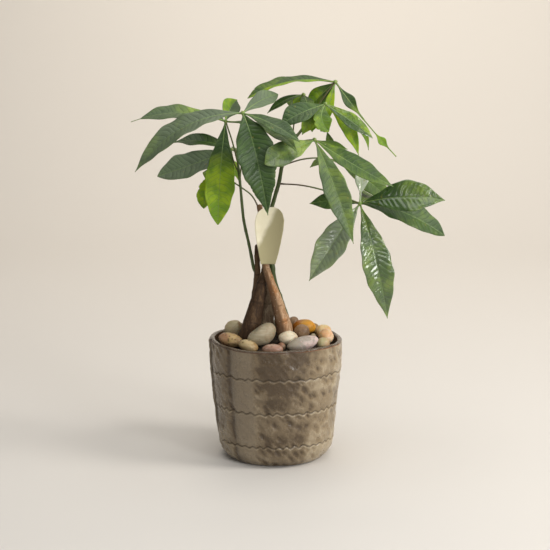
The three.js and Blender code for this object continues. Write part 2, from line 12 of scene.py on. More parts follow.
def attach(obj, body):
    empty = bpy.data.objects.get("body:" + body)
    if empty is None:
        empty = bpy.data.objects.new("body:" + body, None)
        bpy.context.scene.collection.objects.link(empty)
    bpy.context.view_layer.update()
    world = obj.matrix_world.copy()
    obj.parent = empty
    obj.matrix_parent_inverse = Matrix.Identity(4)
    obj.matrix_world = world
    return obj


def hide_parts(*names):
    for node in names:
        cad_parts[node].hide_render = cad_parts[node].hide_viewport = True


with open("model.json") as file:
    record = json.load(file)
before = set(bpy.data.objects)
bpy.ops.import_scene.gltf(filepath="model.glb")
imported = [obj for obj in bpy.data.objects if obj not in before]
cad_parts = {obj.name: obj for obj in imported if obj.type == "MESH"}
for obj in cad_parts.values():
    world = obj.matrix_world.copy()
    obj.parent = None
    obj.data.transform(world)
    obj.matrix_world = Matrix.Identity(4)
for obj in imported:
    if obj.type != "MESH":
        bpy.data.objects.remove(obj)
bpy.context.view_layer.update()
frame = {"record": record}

bl_info = {
    "name": "Potted Money Tree",
    "version": (1, 0, 0),
    "blender": (4, 5, 0),
    "location": "View3D > Sidebar > Money Tree",
    "description": "Dresses the packed money tree with leaves, bark, glaze, stones and paper",
    "category": "Object",
}

SLOT_OF = {row["node"]: row["material_slot"] for row in frame["record"]["subparts"]}

# Sizes are in millimetres, as in the part's source, and pieces are scaled once at the end
MM = 0.001

# Pot
POT_HEIGHT = 124
POT_FLOOR = 8
POT_PROFILE = [
    (47, 0), (51.5, 1.6), (56, 6.5), (59.2, 14), (60.8, 30),
    (62.6, 52), (65.8, 78), (67.6, 102), (68.2, POT_HEIGHT),
]
POT_WALL = 5.5
POT_COLUMNS = 384
POT_ROWS = 205
RIM_SWAY = 1.6
RIM_BAND = 8
GROOVE_HEIGHTS = (20.5, 56.5, 92.5)
GROOVE_RISE = 2.5
GROOVE_WAVES = 40
SEAM_ANGLE = 189
SEAM_SPAN = 46
SEAM_STEP = 1.4
SEAM_FOOT = 24
SEAM_FULL = 40
CREASE_ANGLE = 225
CREASE_SPAN = 4
CREASE_DEPTH = 1.1
HAMMER_COLUMNS = (11, 7)
HAMMER_ROWS = (0.16, 0.21)
HAMMER_SIDE = 0.6
FACET_SIZE = 7.6
FACET_LEAN = 0.0094
FACET_SQUASH = 0.75
BOWL_SIZE = 0.7
PIT_SIZE = 0.3
WALL_RADIUS = 64
LIP_HALF_WIDTH = 2.4
LIP_RISE = 1.6
LIP_STEPS = 8
INNER_ROWS = (116, 108, 80, 50, 20)
INNER_FOOT_ROUNDING = 5

# The glaze: turns in degrees or heights over which the smooth panel, the dark right side and the
# pale foot come and go, and the lines that gather it
PANEL_RISE = (225, 229)
PANEL_FALL = (252, 247)
PANEL_FOOT = (40, 15)
SHADE_RISE = (246, 262)
SHADE_FALL = (312, 286)
SHADE_HEIGHTS = (55, 110)
PALE_FOOT = (45, 12)
GROOVE_WIDTH = 0.7
SWELLING_BELOW = 1.7
SWELLING_WIDTH = 0.9
CREASE_LINE_SHIFT = 1
CREASE_LINE_WIDTH = 4
# The seam line gathers glaze along the lapped seam and is also a painted shadow under the slab's edge
SEAM_LINE_SHIFT = 3.5
SEAM_LINE_WIDTH = 2.4
SEAM_CLEAR = 25

# Soil
SOIL_EDGE_HEIGHT = 114
SOIL_CROWN_HEIGHT = 128
SOIL_RADIUS = 61.5
SOIL_FOOT = 110
SOIL_SIDE = [(0, POT_FLOOR + 0.3), (49, POT_FLOOR + 0.3), (53, 20), (56.5, 60)]
SOIL_ROWS = 40
SOIL_COLUMNS = 128
GRAIN_COUNT = 520
GRAIN_SEED = 21

# Trunks and shoots: points (x, y, z, radius) from the foot up
TRUNKS = {
    "trunk_front_left": [
        (-33, -13, SOIL_FOOT, 8.5), (-30, -12.5, 126, 9.6), (-25.5, -12, 139, 9.6),
        (-20, -9.5, 161, 7.4), (-16, -7, 178, 5.2), (-11.5, -4, 194, 4),
        (-8.5, -2, 215, 3.4), (-7, -1, 234, 3),
    ],
    "trunk_front_right": [
        (11.5, -14, SOIL_FOOT, 7.6), (10, -14, 126, 8.6), (7.6, -14, 140, 8.4),
        (3.6, -14, 155, 6.7), (-0.5, -14, 170, 5.5), (-6, -13.5, 186.5, 4.2),
        (-11, -12, 203, 3.2), (-14, -12, 228, 3), (-16.5, -10.5, 263, 2.8),
    ],
    "trunk_middle": [
        (-10.5, -2.5, SOIL_FOOT, 6.8), (-10.3, -1.5, 131, 7.8), (-8.8, 1.5, 150, 6.6),
        (-8, 4.5, 168, 4.8), (-10.5, 7.5, 188, 3.4), (-12, 8.5, 212, 3),
    ],
    "trunk_back_left": [
        (-27, 15, SOIL_FOOT, 6.4), (-25.5, 14, 129, 6.8), (-22, 10.5, 160, 4.6),
        (-20, 6.5, 182, 3.2), (-19.3, 5, 200, 2.8), (-19.3, 5, 220, 2.5),
    ],
    "trunk_back_right": [
        (12, 15.5, SOIL_FOOT, 6), (10.5, 15, 129, 6.4), (4, 10, 160, 4.4),
        (-1.8, 5.5, 180, 3.2), (-3.6, 4, 194, 2.9), (-5.5, 6.5, 212, 2.6),
        (-6, 7.5, 232, 2.4),
    ],
}
SHOOTS = {
    "shoot_left": [
        (-20.5, 6, 190, 1.5), (-22.9, 6, 196, 1.7), (-25.3, 6, 208, 1.6),
        (-28, 5, 222, 1.5), (-33, 4, 246, 1.5), (-36, 2.5, 278, 1.35),
        (-38.5, 3, 304, 1.3),
    ],
    "shoot_right": [
        (-7, -1, 234, 2.9), (-6.2, 0, 252, 2.3), (-1.5, 0, 270, 2),
        (3, 0, 286, 2.1), (6.5, 1, 304, 1.9), (13, 2, 319, 1.7), (21, 3, 334, 1.5),
    ],
}

# The sunlit trunk's orange flush, and the heights above which painted shade darkens its bark
BARK_FLUSH = (0.46, 0.19, 0.06)
BARK_PAINTED_SHADE_HEIGHTS = (185, 212)

# Leaves
BLADE_FOLD = 0.22
BLADE_RIPPLE = 0.1
BLADE_WAVES = 9
BLADE_WAVE_SHIFT = 2.1
RIB_HALF_WIDTH = 0.9
RIB_STATIONS = 28
TIP_HALF_WIDTH = 0.35
STALK_RADIUS = 0.78
HUB_RADIUS = 2.1
FRONT = (0.1, -1, 0.2)
UP = (0, -0.4, 1)
SLOPE = (0.1, -1, 1)


def oval(share):
    """A narrow foot, a full middle and a drip tip"""
    return math.sin(math.pi * share**1.15) ** 1.15 if 0 < share < 1 else 0


def blunt(share):
    """Full to near the end, with a round tip"""
    return math.sin(math.pi * share**1.4) ** 0.8 if 0 < share < 1 else 0


def tailed(share):
    """As blunt, with a thin drip tip"""
    return blunt(share / 0.9) if share < 0.9 else 0


def stalked(share):
    """An oval on a short stalk of its own"""
    return oval((share - 0.2) / 0.8) if share > 0.2 else 0


def pinched(share):
    """A short blade, a thread of rib, a small diamond and a tail"""
    return 0.1 + bell(share - 0.25, 0.11) + 0.7 * bell(share - 0.79, 0.05)


# A leaflet bends from its leaf's hub past its middle to its tip, and its upper side looks along face.
# Its fresh green, partly young colour and partly painted glow of light shining through the blade, runs from
# its foot's share to its tip's, and relief is its pucker's height. Near_fresh_and_glow is added on one side
# of its rib, ragged tears its margin and wet strews drops on it. Shine runs from 0, satin, to 1, polished,
# and pale whitens the blade with a painted grey sheen.
Leaflet = namedtuple(
    "Leaflet",
    "middle tip width face foot_fresh tip_fresh relief outline near_fresh ragged wet shine pale",
    defaults=(0.2, 0.2, 0.4, oval, 0, 0, 0, 0.15, 0),
)

LEAVES = {
    "leaf_left_hanging": (
        [(-38.5, 3, 303), (-44, 3, 326), (-51, 2, 348)],
        [
            Leaflet((-56, -14, 298), (-59, -12, 244), 30, FRONT, 0.0, 1, 0.25, blunt, shine=0),
            Leaflet(
                (-99, 6, 356), (-147, 4, 347), 22, (0, -0.6, 1), 0.7, 0.15, 0.3, tailed,
                near_fresh=-0.1, shine=0.2, pale=0.04,
            ),
            Leaflet((-7, -35, 343), (20, -80, 326), 18, UP, 0.1, 0.3),
            Leaflet((-46.5, 22, 359.5), (-40, 36, 367), 20, FRONT, 0.15, 0.2, 0.2, near_fresh=0.6),
            Leaflet((-74, 40, 349), (-91, 74, 334), 25, UP, 0.2, 0.35),
        ],
    ),
    "leaf_left_lower": (
        [(-37.5, 3, 294), (-43, 7, 306), (-46, 9, 318)],
        [
            Leaflet(
                (-82, -2, 305.5), (-120, -8, 293), 31, SLOPE, 0.05, 0.05, 0.6, blunt,
                shine=0.3, pale=0.1,
            ),
            Leaflet((-74, 16, 326), (-107, 24, 324), 24, UP, 0.1, 0.2, 0.3),
            Leaflet((-36, 44, 312), (-33, 66, 288), 22, UP, 0.3, 0.4),
        ],
    ),
    "leaf_left_inner": (
        [(-16.3, -10.5, 258), (-25, 4, 272), (-44, 13, 285), (-54, 15, 295)],
        [
            Leaflet((-69, 9, 279), (-74, 6, 258), 20, FRONT, 0.8, 1, 0.3, blunt, ragged=0.3),
            Leaflet((-45, 25, 299), (-39, 31, 284), 13, (0.3, -1, 0.2), 0.8, 0.95, 0.2),
            Leaflet((-65, 42, 294), (-74, 60, 279), 20, UP, 0.5, 0.7, 0.3),
        ],
    ),
    "leaf_front_left": (
        [(-37, 3, 289), (-33.5, -10, 315), (-31, -20, 338), (-33, -30, 359)],
        [
            Leaflet((-91, -34, 345), (-140, -36, 301), 32, (-0.2, -0.7, 1), 0.02, shine=0.25, pale=0.12),
            Leaflet((-20.5, -56, 324), (-8, -52, 260), 38, FRONT, 0.02, 0.12, 1.1, ragged=0.06, shine=0.35),
            Leaflet((-3, -56, 350), (23, -74, 335), 19, (0.3, -1, 1), 0.1, 0.1, 0.3, wet=0.4, shine=0.4),
            Leaflet((-15, -14, 370), (2, 4, 375), 18, (0, -1, 0.6), 0.1, 0.1, 0.2, blunt, pale=0.1),
        ],
    ),
    "leaf_top": (
        [(20.7, 3, 333), (34, 6, 351), (50, 8, 374), (60, 10, 387)],
        [
            Leaflet(
                (12, 14, 387), (-29, 14, 370), 23, (0, -0.35, 1), 0.1, 0.3, 0.3, blunt,
                near_fresh=0.55, ragged=0.08,
            ),
            Leaflet((89, 6, 349), (122, 2, 312), 11, FRONT, 0.1, 0.85, 0.15, pinched),
            Leaflet((44, 12, 372), (30, 14, 358), 20, (-0.6, -1, 0.2), 0.35, 0.7, 0.3, near_fresh=-0.3),
            Leaflet((54, 6, 365), (51, 4, 345), 10, FRONT, 0.8, 0.9, 0.2),
            Leaflet((50, 40, 373), (41, 68, 352), 18, UP, 0.4, 0.5, 0.3),
        ],
    ),
    "leaf_upper_right": (
        [(18, 2.5, 328), (31, -8, 345), (43, -17, 359), (49, -22, 367)],
        [
            Leaflet(
                (24, -35, 359), (4.5, -40, 347.5), 28, (0, -0.8, 1), 0.15, 0.0, 0.5,
                wet=0.2, shine=0.2,
            ),
            Leaflet((45, -34, 354), (52, -38, 341), 19, FRONT, 0.3, 0.6, 0.4, blunt, ragged=0.3, shine=0),
            Leaflet((39, -20, 353), (36, -20, 339), 16, FRONT, 0.75, 0.85, 0.2),
            Leaflet((35.5, -27, 353.5), (26, -27, 337), 16, FRONT, 0.3, 0.6, 0.3),
            Leaflet(
                (75, -27, 350), (96, -30, 334), 18, (0.5, -1, 0.8), 0.0, 0.1, 0.5,
                near_fresh=0.45, wet=1, shine=0.7,
            ),
            Leaflet((70, -16, 346), (83, -14, 315), 14, FRONT, 0.85, 0.9, 0.25),
            Leaflet((82, 0, 347), (94, 6, 318), 8, FRONT, 0.6, 0.8, 0.2),
        ],
    ),
    "leaf_front_right": (
        [(12, 2, 317), (27, -14, 329), (38, -36, 333)],
        [
            Leaflet(
                (57, -62, 290), (76, -66, 234), 24, FRONT, 0.3, 0.3,
                near_fresh=0.05, wet=0.2, shine=0.35, pale=0.06,
            ),
            Leaflet((77, -50, 309.5), (115, -54, 289), 23, SLOPE, 0.3, 0.25, 0.35, shine=0.2),
            Leaflet((56, -30, 327), (71, -30, 323), 14, UP, 0.4, 0.5, 0.2),
            Leaflet(
                (12, -60, 324), (-11, -69, 312.5), 28, SLOPE, 0.5, 0.4, 0.35, blunt,
                wet=0.6, shine=0.7, pale=0.08,
            ),
        ],
    ),
    "leaf_right": (
        [(2.6, 0, 284.6), (29, -12, 284), (60, -21, 277), (84, -26, 268)],
        [
            Leaflet((127, -42, 277), (167, -46, 274), 32, (0, -1, 0.5), 0.0, 0.28, 0.9, shine=1),
            Leaflet((125, -28, 260.5), (170, -24, 235), 31, SLOPE, 0.05, 0.25, 0.9, blunt, shine=0.1),
            Leaflet((99.5, -46, 214), (112, -44, 154), 30, FRONT, 0.3, 0.35, 0.9, shine=1, pale=0.04),
            Leaflet(
                (58.5, -40, 232.5), (33, -42, 192), 30, (-0.3, -1, 0.2), 0.35, 0.35, 0.9,
                shine=1, pale=0.22,
            ),
            Leaflet((86, -12, 286), (88, 0, 303), 14, FRONT, 0.2, 0.2, 0.5, stalked, shine=1, pale=0.4),
            Leaflet((58, -14, 269), (34, -6, 265), 18, (0, -1, 0.5), 0.2, 0.2, 0.3),
            Leaflet((99, 14, 270), (113, 44, 255), 26, UP, 0.3, 0.3, 0.6),
        ],
    ),
    "leaf_upper_middle": (
        [(16.5, 2.5, 325), (19, 14, 348), (28, 22, 373)],
        [
            Leaflet((9, 16, 368), (-9, 12, 355), 10, (0, -0.8, 1), 0.1, 0.1, 0.3),
            Leaflet((22, 18, 367), (21, 14, 356), 9, FRONT, 0.8, 0.85, 0.2),
            Leaflet((31, 3, 367), (33, -12, 357), 14, UP, 0.15, 0.2, 0.3),
            Leaflet((20, 44, 368), (14, 64, 358), 18, UP, 0.4, 0.5, 0.3),
        ],
    ),
    "leaf_back_right": (
        [(6.5, 1, 303), (27, 4, 309), (46, 7, 310), (62, 10, 307)],
        [
            Leaflet((93.5, 0, 287.5), (120, -4, 263), 23, (0.3, -1, 0.6), 0.35, 0.45, 0.3),
            Leaflet((47, -6, 308), (34, -14, 303), 12, UP, 0.3, 0.3, 0.2),
            Leaflet((56, 10, 322), (52, 8, 337), 9, FRONT, 0.2, 0.3, 0.2),
            Leaflet((72, 42, 306), (81, 66, 288), 24, UP, 0.4, 0.4),
        ],
    ),
}

# Pebbles: (x, y, half length, half width, half height, turn, tilt)
PEBBLES = {
    "pebble_grey_green": (-43, 10, 11, 9, 9, 20, 0),
    "pebble_speckled": (-47, -23, 14, 8, 7, -30, 8),
    "pebble_tan": (-27, -44, 11, 7, 6, -30, 8),
    "pebble_pale_large": (-14.5, -35, 14, 9, 11, 10, -24),
    "pebble_white_egg": (12.5, -34, 10, 7.5, 7.4, 5, 0),
    "pebble_pink": (-4, -54, 11, 5.5, 5.5, 0, 0),
    "pebble_lilac": (27, -44, 17, 7.5, 7.4, 20, -10),
    "pebble_amber": (29, 7, 12.5, 9, 8, 5, 0),
    "pebble_brown_grey": (26, -14, 8, 7.5, 8, 0, 0),
    "pebble_pale_yellow": (49, 12, 10.5, 8, 7.5, 70, 0),
    "pebble_peach": (51, -8, 9.5, 8, 8, 80, 0),
    "pebble_greenish": (48.5, -25, 8, 6.5, 6, 60, 0),
    "pebble_dark": (5.5, -45, 4.5, 3.6, 4.2, 0, 0),
    "pebble_middle": (-9, -19, 7, 5, 5, 0, 0),
    "pebble_inner_brown": (18.5, 26, 7, 6.5, 8, 30, 0),
    "pebble_inner_grey": (-8, 28, 9, 7, 6.5, -10, 0),
    "pebble_inner_tan": (-25, 28, 6.5, 6, 6, 20, 0),
}
PEBBLE_UNEVENNESS = 0.16
PEBBLE_SEED = 7
PEBBLE_SCALE = 0.985
LARGE_PEBBLE = 7

# Corners of the less regular pebbles: a direction from the middle and how far it stands out
CORNERS = {
    "pebble_pale_large": [((-0.99, 0, 0.11), 0.2), ((-0.25, 0, 0.97), -0.3), ((0.78, 0, 0.64), 0.12)],
    "pebble_speckled": [((-0.9, 0, 0.4), -0.06), ((0.9, 0, -0.2), 0.06)],
    "pebble_tan": [((-0.9, 0, 0.4), 0.08), ((0.8, 0, 0.6), -0.1)],
}
BACK_PEBBLES = 6
BACK_RING = 50
BACK_FROM = 40
BACK_TO = 142
SMALL_PEBBLES = [
    (29.5, 24, 4.5), (-47, -6.5, 5), (38.5, -5, 3.8), (-30, -28.5, 3.4),
    (-34.5, 20.5, 4), (6.5, 29, 4), (-8, 13.5, 4.8), (4, 2, 4.6),
]

# Paper tag: its left and right edges at each height
TAG_OUTLINE = [
    (204.5, -15.3, -0.8), (216, -17.6, 2.4), (228, -19.6, 5), (240, -21, 7.2),
    (250, -21, 8.1), (257, -18.8, 6.4), (261, -14.5, 3), (263, -9, -2),
]
TAG_FRONT = -17.2
TAG_HOLLOW = 0.018
TAG_MIDDLE = -7
# The slanting line past which painted shade darkens the card: its way across the card and where the
# darkening starts and ends
TAG_SHADE_WAY = (0.9, 0, -0.436)
TAG_SHADE_FROM = -115
TAG_SHADE_TO = -109
LOOP_CENTRE = (-13.6, -12)
LOOP_HEIGHT = 224
LOOP_WIDTH = 7
LOOP_RADIUS = 3.7
LOOP_CARD_OFFSET = 0.35
LOOP_STEPS = 20
LOOP_LONG_LEG = 7
LOOP_SHORT_LEG = 2.5

# The photograph's camera
CAMERA_PLACE = (-1.05, -1515.4, 484.5)
CAMERA_DIP = 11
CAMERA_LENS = 98.18
SENSOR_WIDTH = 36

# The stage, in metres: where the floor turns up into a wall and the curve's radius, and each lamp's
# place, aim, size and colour
FLOOR_BEND = 1.2
FLOOR_CURVE = 0.9
PLANT = (0, 0, 0.2)
WALL = (0, 2.1, 0.5)
LAMPS = {
    "key": ((1.3, -0.35, 1.2), PLANT, 0.6, (1.0, 0.95, 0.88)),
    "top": ((0, -0.1, 1.8), PLANT, 1.8, (1.0, 0.99, 0.96)),
    "window": ((1.15, -1.35, 0.65), PLANT, 0.5, (1.0, 0.99, 0.97)),
    "wall": ((0, 1.1, 1.7), WALL, 1.2, (1.0, 0.88, 0.72)),
    "corner": ((1.2, 1.0, 1.5), (0.8, 2.1, 0.4), 0.8, (1.0, 0.92, 0.8)),
    "front": ((0.3, -1.35, 0.95), PLANT, 0.5, (1.0, 0.99, 0.97)),
    "catch": ((-0.28, -1.45, 0.5), PLANT, 0.3, (1.0, 0.99, 0.97)),
}


# Small tools


def random_draws(seed):
    """The same chain of numbers from 0 to 1 each run"""
    state = seed
    while True:
        state = (state * 1664525 + 1013904223) % 4294967296
        yield state / 4294967296


def blend(low, high, share):
    return low + (high - low) * share


def smooth(low, high, value):
    """Rises from 0 at low to 1 at high"""
    share = min(max((value - low) / (high - low), 0), 1)
    return share * share * (3 - 2 * share)


def soft_span(rise, fall, value):
    """1 between two soft edges and 0 beyond them"""
    return smooth(*rise, value) * smooth(*fall, value)


def bell(offset, width):
    """1 at no offset, fading to nothing over the width on both sides"""
    return math.exp(-((offset / width) ** 2))


def toned(colour, share):
    """A colour made darker or lighter"""
    return tuple(min(share * part, 1) for part in colour)


def profile_at(rows, height):
    """The first value of the rows (value, height) at a height, on straight lines between them"""
    for (r0, z0), (r1, z1) in zip(rows, rows[1:]):
        if height <= z1:
            return blend(r0, r1, (height - z0) / (z1 - z0))
    return rows[-1][0]


def chord_curve(points, count):
    """Points along a centripetal spline with count steps a span, their radii blended smoothly"""
    places = [Vector(p[:3]) for p in points]
    before = [2 * places[0] - places[1]]
    after = [2 * places[-1] - places[-2]]
    padded = before + places + after
    made = []
    for span in range(len(places) - 1):
        p0, p1, p2, p3 = padded[span : span + 4]
        d0, d1, d2 = (
            math.sqrt((b - a).length) for a, b in ((p0, p1), (p1, p2), (p2, p3))
        )
        m1 = ((p1 - p0) / d0 - (p2 - p0) / (d0 + d1) + (p2 - p1) / d1) * d1
        m2 = ((p2 - p1) / d1 - (p3 - p1) / (d1 + d2) + (p3 - p2) / d2) * d1
        last = span == len(places) - 2
        for step in range(count + last):
            t = step / count
            place = (
                p1
                + m1 * t
                + (-3 * p1 + 3 * p2 - 2 * m1 - m2) * t**2
                + (2 * p1 - 2 * p2 + m1 + m2) * t**3
            )
            radius = blend(points[span][3], points[span + 1][3], t) if len(points[0]) > 3 else 0
            made.append((place, radius))
    return made


def stations_of(line):
    """A matrix for each (place, radius): its rings turn as little as they can from one to the next"""
    places = [place for place, _ in line]
    tangents = []
    for k in range(len(places)):
        ahead, behind = places[min(k + 1, len(places) - 1)], places[max(k - 1, 0)]
        tangents.append((ahead - behind).normalized())
    across = tangents[0].orthogonal().normalized()
    made = []
    for place, tangent, (_, radius) in zip(places, tangents, line):
        across = (across - tangent * across.dot(tangent)).normalized()
        other = tangent.cross(across)
        turned = Matrix((across, other, tangent)).transposed().to_4x4()
        made.append(Matrix.Translation(place) @ turned @ Matrix.Diagonal((radius, radius, radius, 1)))
    return made


def rounded_ends(line, foot=False):
    """Adds stations that close a stem's tip, and its foot when asked, in a dome"""

    def dome(end, inner):
        place, radius = end
        way = (place - inner[0]).normalized()
        angles = [math.radians(degrees) for degrees in (30, 55, 75, 88)]
        return [(place + way * radius * 0.6 * math.sin(a), radius * math.cos(a)) for a in angles]

    made = list(line) + dome(line[-1], line[-2])
    return dome(line[0], line[1])[::-1] + made if foot else made


def parts(geom, kind):
    return [part for part in geom if isinstance(part, kind)]


def float_layers(bm, *labels):
    return {label: bm.verts.layers.float.new(label) for label in labels}


def spun(rows, steps):
    """A closed shape turned from its outline, (radius, height) from axis to axis"""
    bm = bmesh.new()
    verts = [bm.verts.new((radius, 0, height)) for radius, height in rows]
    edges = [bm.edges.new(pair) for pair in zip(verts, verts[1:])]
    bmesh.ops.spin(
        bm, geom=verts + edges, cent=(0, 0, 0), axis=(0, 0, 1), angle=2 * math.pi,
        steps=steps, use_merge=True,
    )
    bmesh.ops.remove_doubles(bm, verts=bm.verts, dist=1e-4)
    return bm


def add_tube(bm, line, sides):
    """Extrudes a ring along the stations, fills both ends and returns the faces"""
    stations = stations_of(line)
    ring = bmesh.ops.create_circle(bm, segments=sides, radius=1, matrix=stations[0])["verts"]
    edges = list({edge for vert in ring for edge in vert.link_edges})
    first = list(edges)
    faces = []
    for before, after in zip(stations, stations[1:]):
        grown = bmesh.ops.extrude_edge_only(bm, edges=edges)["geom"]
        ring = parts(grown, bmesh.types.BMVert)
        ahead = set(ring)
        edges = [edge for edge in parts(grown, bmesh.types.BMEdge) if ahead.issuperset(edge.verts)]
        faces += parts(grown, bmesh.types.BMFace)
        bmesh.ops.transform(bm, matrix=after @ before.inverted(), verts=ring)
    faces += bmesh.ops.holes_fill(bm, edges=first + edges, sides=0)["faces"]
    bmesh.ops.recalc_face_normals(bm, faces=faces)
    return faces


def add_piece(name, bm, looks, slot, *nodes):
    """Brings a finished shape to metres, puts it on the plant and hides the nodes that it stands for"""
    bmesh.ops.scale(bm, vec=(MM, MM, MM), verts=bm.verts)
    mesh = bpy.data.meshes.new(name)
    bm.to_mesh(mesh)
    bm.free()
    for look in looks:
        mesh.materials.append(look)
    mesh.shade_smooth()
    earlier = bpy.data.objects.get(name)
    if earlier:
        bpy.data.objects.remove(earlier)
    piece = bpy.data.objects.new(name, mesh)
    bpy.context.scene.collection.objects.link(piece)
    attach(piece, "root")
    if nodes:
        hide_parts(*nodes)


# Materials


class Nodes:
    """Adds nodes to one tree and joins them as their inputs are given"""

    def __init__(self, tree):
        self.tree = tree

    def add(self, kind, inputs=(), **settings):
        node = self.tree.nodes.new(kind)
        for name, value in settings.items():
            setattr(node, name, value)
        for socket, value in dict(inputs).items():
            self.give(node.inputs[socket], value)
        return node

    def give(self, socket, value):
        if isinstance(value, bpy.types.NodeSocket):
            self.tree.links.new(value, socket)
        elif socket.type == "RGBA":
            socket.default_value = (*value, 1)
        else:
            socket.default_value = value

    def math(self, operation, first, second=0.0, clamp=False):
        node = self.add(
            "ShaderNodeMath", {0: first, 1: second}, operation=operation, use_clamp=clamp
        )
        return node.outputs[0]

    def plus(self, first, second, clamp=False):
        return self.math("ADD", first, second, clamp)

    def minus(self, first, second, clamp=False):
        return self.math("SUBTRACT", first, second, clamp)

    def times(self, first, second):
        return self.math("MULTIPLY", first, second)

    def step(self, value, low, high, out_low=0.0, out_high=1.0):
        node = self.add(
            "ShaderNodeMapRange",
            {"Value": value, "From Min": low, "From Max": high, "To Min": out_low, "To Max": out_high},
            interpolation_type="SMOOTHSTEP",
        )
        return node.outputs[0]

    def mix(self, share, first, second):
        return self.add("ShaderNodeMix", {0: share, 6: first, 7: second}, data_type="RGBA").outputs[2]

    def noise(self, place, scale, detail=3.0, roughness=0.5, distortion=0.0):
        """Noise of one scale, or of one for each axis"""
        if isinstance(scale, tuple):
            place = self.add("ShaderNodeMapping", {"Vector": place, "Scale": scale}).outputs[0]
            scale = 1.0
        node = self.add(
            "ShaderNodeTexNoise",
            {
                "Vector": place, "Scale": scale, "Detail": detail,
                "Roughness": roughness, "Distortion": distortion,
            },
        )
        return node.outputs[0]

    def attribute(self, name):
        node = self.add("ShaderNodeAttribute", attribute_name=name, attribute_type="GEOMETRY")
        return node.outputs["Fac"]

    def bump(self, height, distance, strength=1.0, normal=None):
        inputs = {"Height": height, "Distance": distance * MM, "Strength": strength}
        if normal:
            inputs["Normal"] = normal
        return self.add("ShaderNodeBump", inputs).outputs[0]

    def group(self, tree, **inputs):
        node = self.add("ShaderNodeGroup", node_tree=tree)
        for name, value in inputs.items():
            self.give(node.inputs[name.replace("_", " ")], value)
        return node.outputs


def new_group(name, inputs, outputs):
    """An empty node group: its tools, its inputs and the node that takes its outputs"""
    tree = bpy.data.node_groups.new(name, "ShaderNodeTree")
    for label, kind in inputs:
        tree.interface.new_socket(label, in_out="INPUT", socket_type=kind)
    for label, kind in outputs:
        tree.interface.new_socket(label, in_out="OUTPUT", socket_type=kind)
    nodes = Nodes(tree)
    return nodes, nodes.add("NodeGroupInput").outputs, nodes.add("NodeGroupOutput").inputs


def group_named(name, build):
    """The node group of that name, built the first time it is asked for"""
    return bpy.data.node_groups.get(name) or build(name)


def build_speckle(name):
    """Scattered round spots: a mask with a given share of the cells filled"""
    nodes, given, wanted = new_group(
        name,
        [("Place", "NodeSocketVector"), ("Size", "NodeSocketFloat"), ("Share", "NodeSocketFloat")],
        [("Mask", "NodeSocketFloat")],
    )
    scale = nodes.math("DIVIDE", 1.0, given["Size"])
    warp = nodes.add("ShaderNodeTexNoise", {"Vector": given["Place"], "Scale": scale, "Detail": 2.0})
    both = {0: given["Place"], 1: warp.outputs[1]}
    bent = nodes.add("ShaderNodeVectorMath", both, operation="ADD").outputs[0]
    cells = nodes.add("ShaderNodeTexVoronoi", {"Vector": bent, "Scale": scale})
    channel = nodes.add("ShaderNodeSeparateColor", {0: cells.outputs["Color"]}).outputs[0]
    chosen = nodes.math("LESS_THAN", channel, given["Share"])
    spot = nodes.step(cells.outputs["Distance"], 0.45, 0.2)
    nodes.give(wanted["Mask"], nodes.times(chosen, spot))
    return nodes.tree


def build_grain(name):
    """Fine unevenness over a broad one, as a height from 0 to 1"""
    nodes, given, wanted = new_group(
        name,
        [("Place", "NodeSocketVector"), ("Broad", "NodeSocketFloat"), ("Fine", "NodeSocketFloat")],
        [("Height", "NodeSocketFloat")],
    )
    broad = nodes.noise(given["Place"], nodes.math("DIVIDE", 1.0, given["Broad"]), 2.0)
    fine = nodes.noise(given["Place"], nodes.math("DIVIDE", 1.0, given["Fine"]), 4.0, 0.6)
    mixed = nodes.plus(nodes.times(broad, 0.65), nodes.times(fine, 0.35))
    nodes.give(wanted["Height"], mixed)
    return nodes.tree


def speckle(nodes, place, size, share):
    tree = group_named("Speckle", build_speckle)
    return nodes.group(tree, Place=place, Size=size, Share=share)["Mask"]


def grain(nodes, place, broad, fine):
    tree = group_named("Grain", build_grain)
    return nodes.group(tree, Place=place, Broad=broad, Fine=fine)["Height"]


def new_look(name):
    """A material, its node tools, its shader and the piece's own coordinates in millimetres"""
    earlier = bpy.data.materials.get(name)
    if earlier:
        bpy.data.materials.remove(earlier)
    look = bpy.data.materials.new(name)
    look.use_nodes = True
    nodes = Nodes(look.node_tree)
    shader = look.node_tree.nodes["Principled BSDF"].inputs
    place = nodes.add(
        "ShaderNodeVectorMath",
        {0: nodes.add("ShaderNodeTexCoord").outputs["Object"], "Scale": 1 / MM},
        operation="SCALE",
    ).outputs[0]
    return look, nodes, shader, place


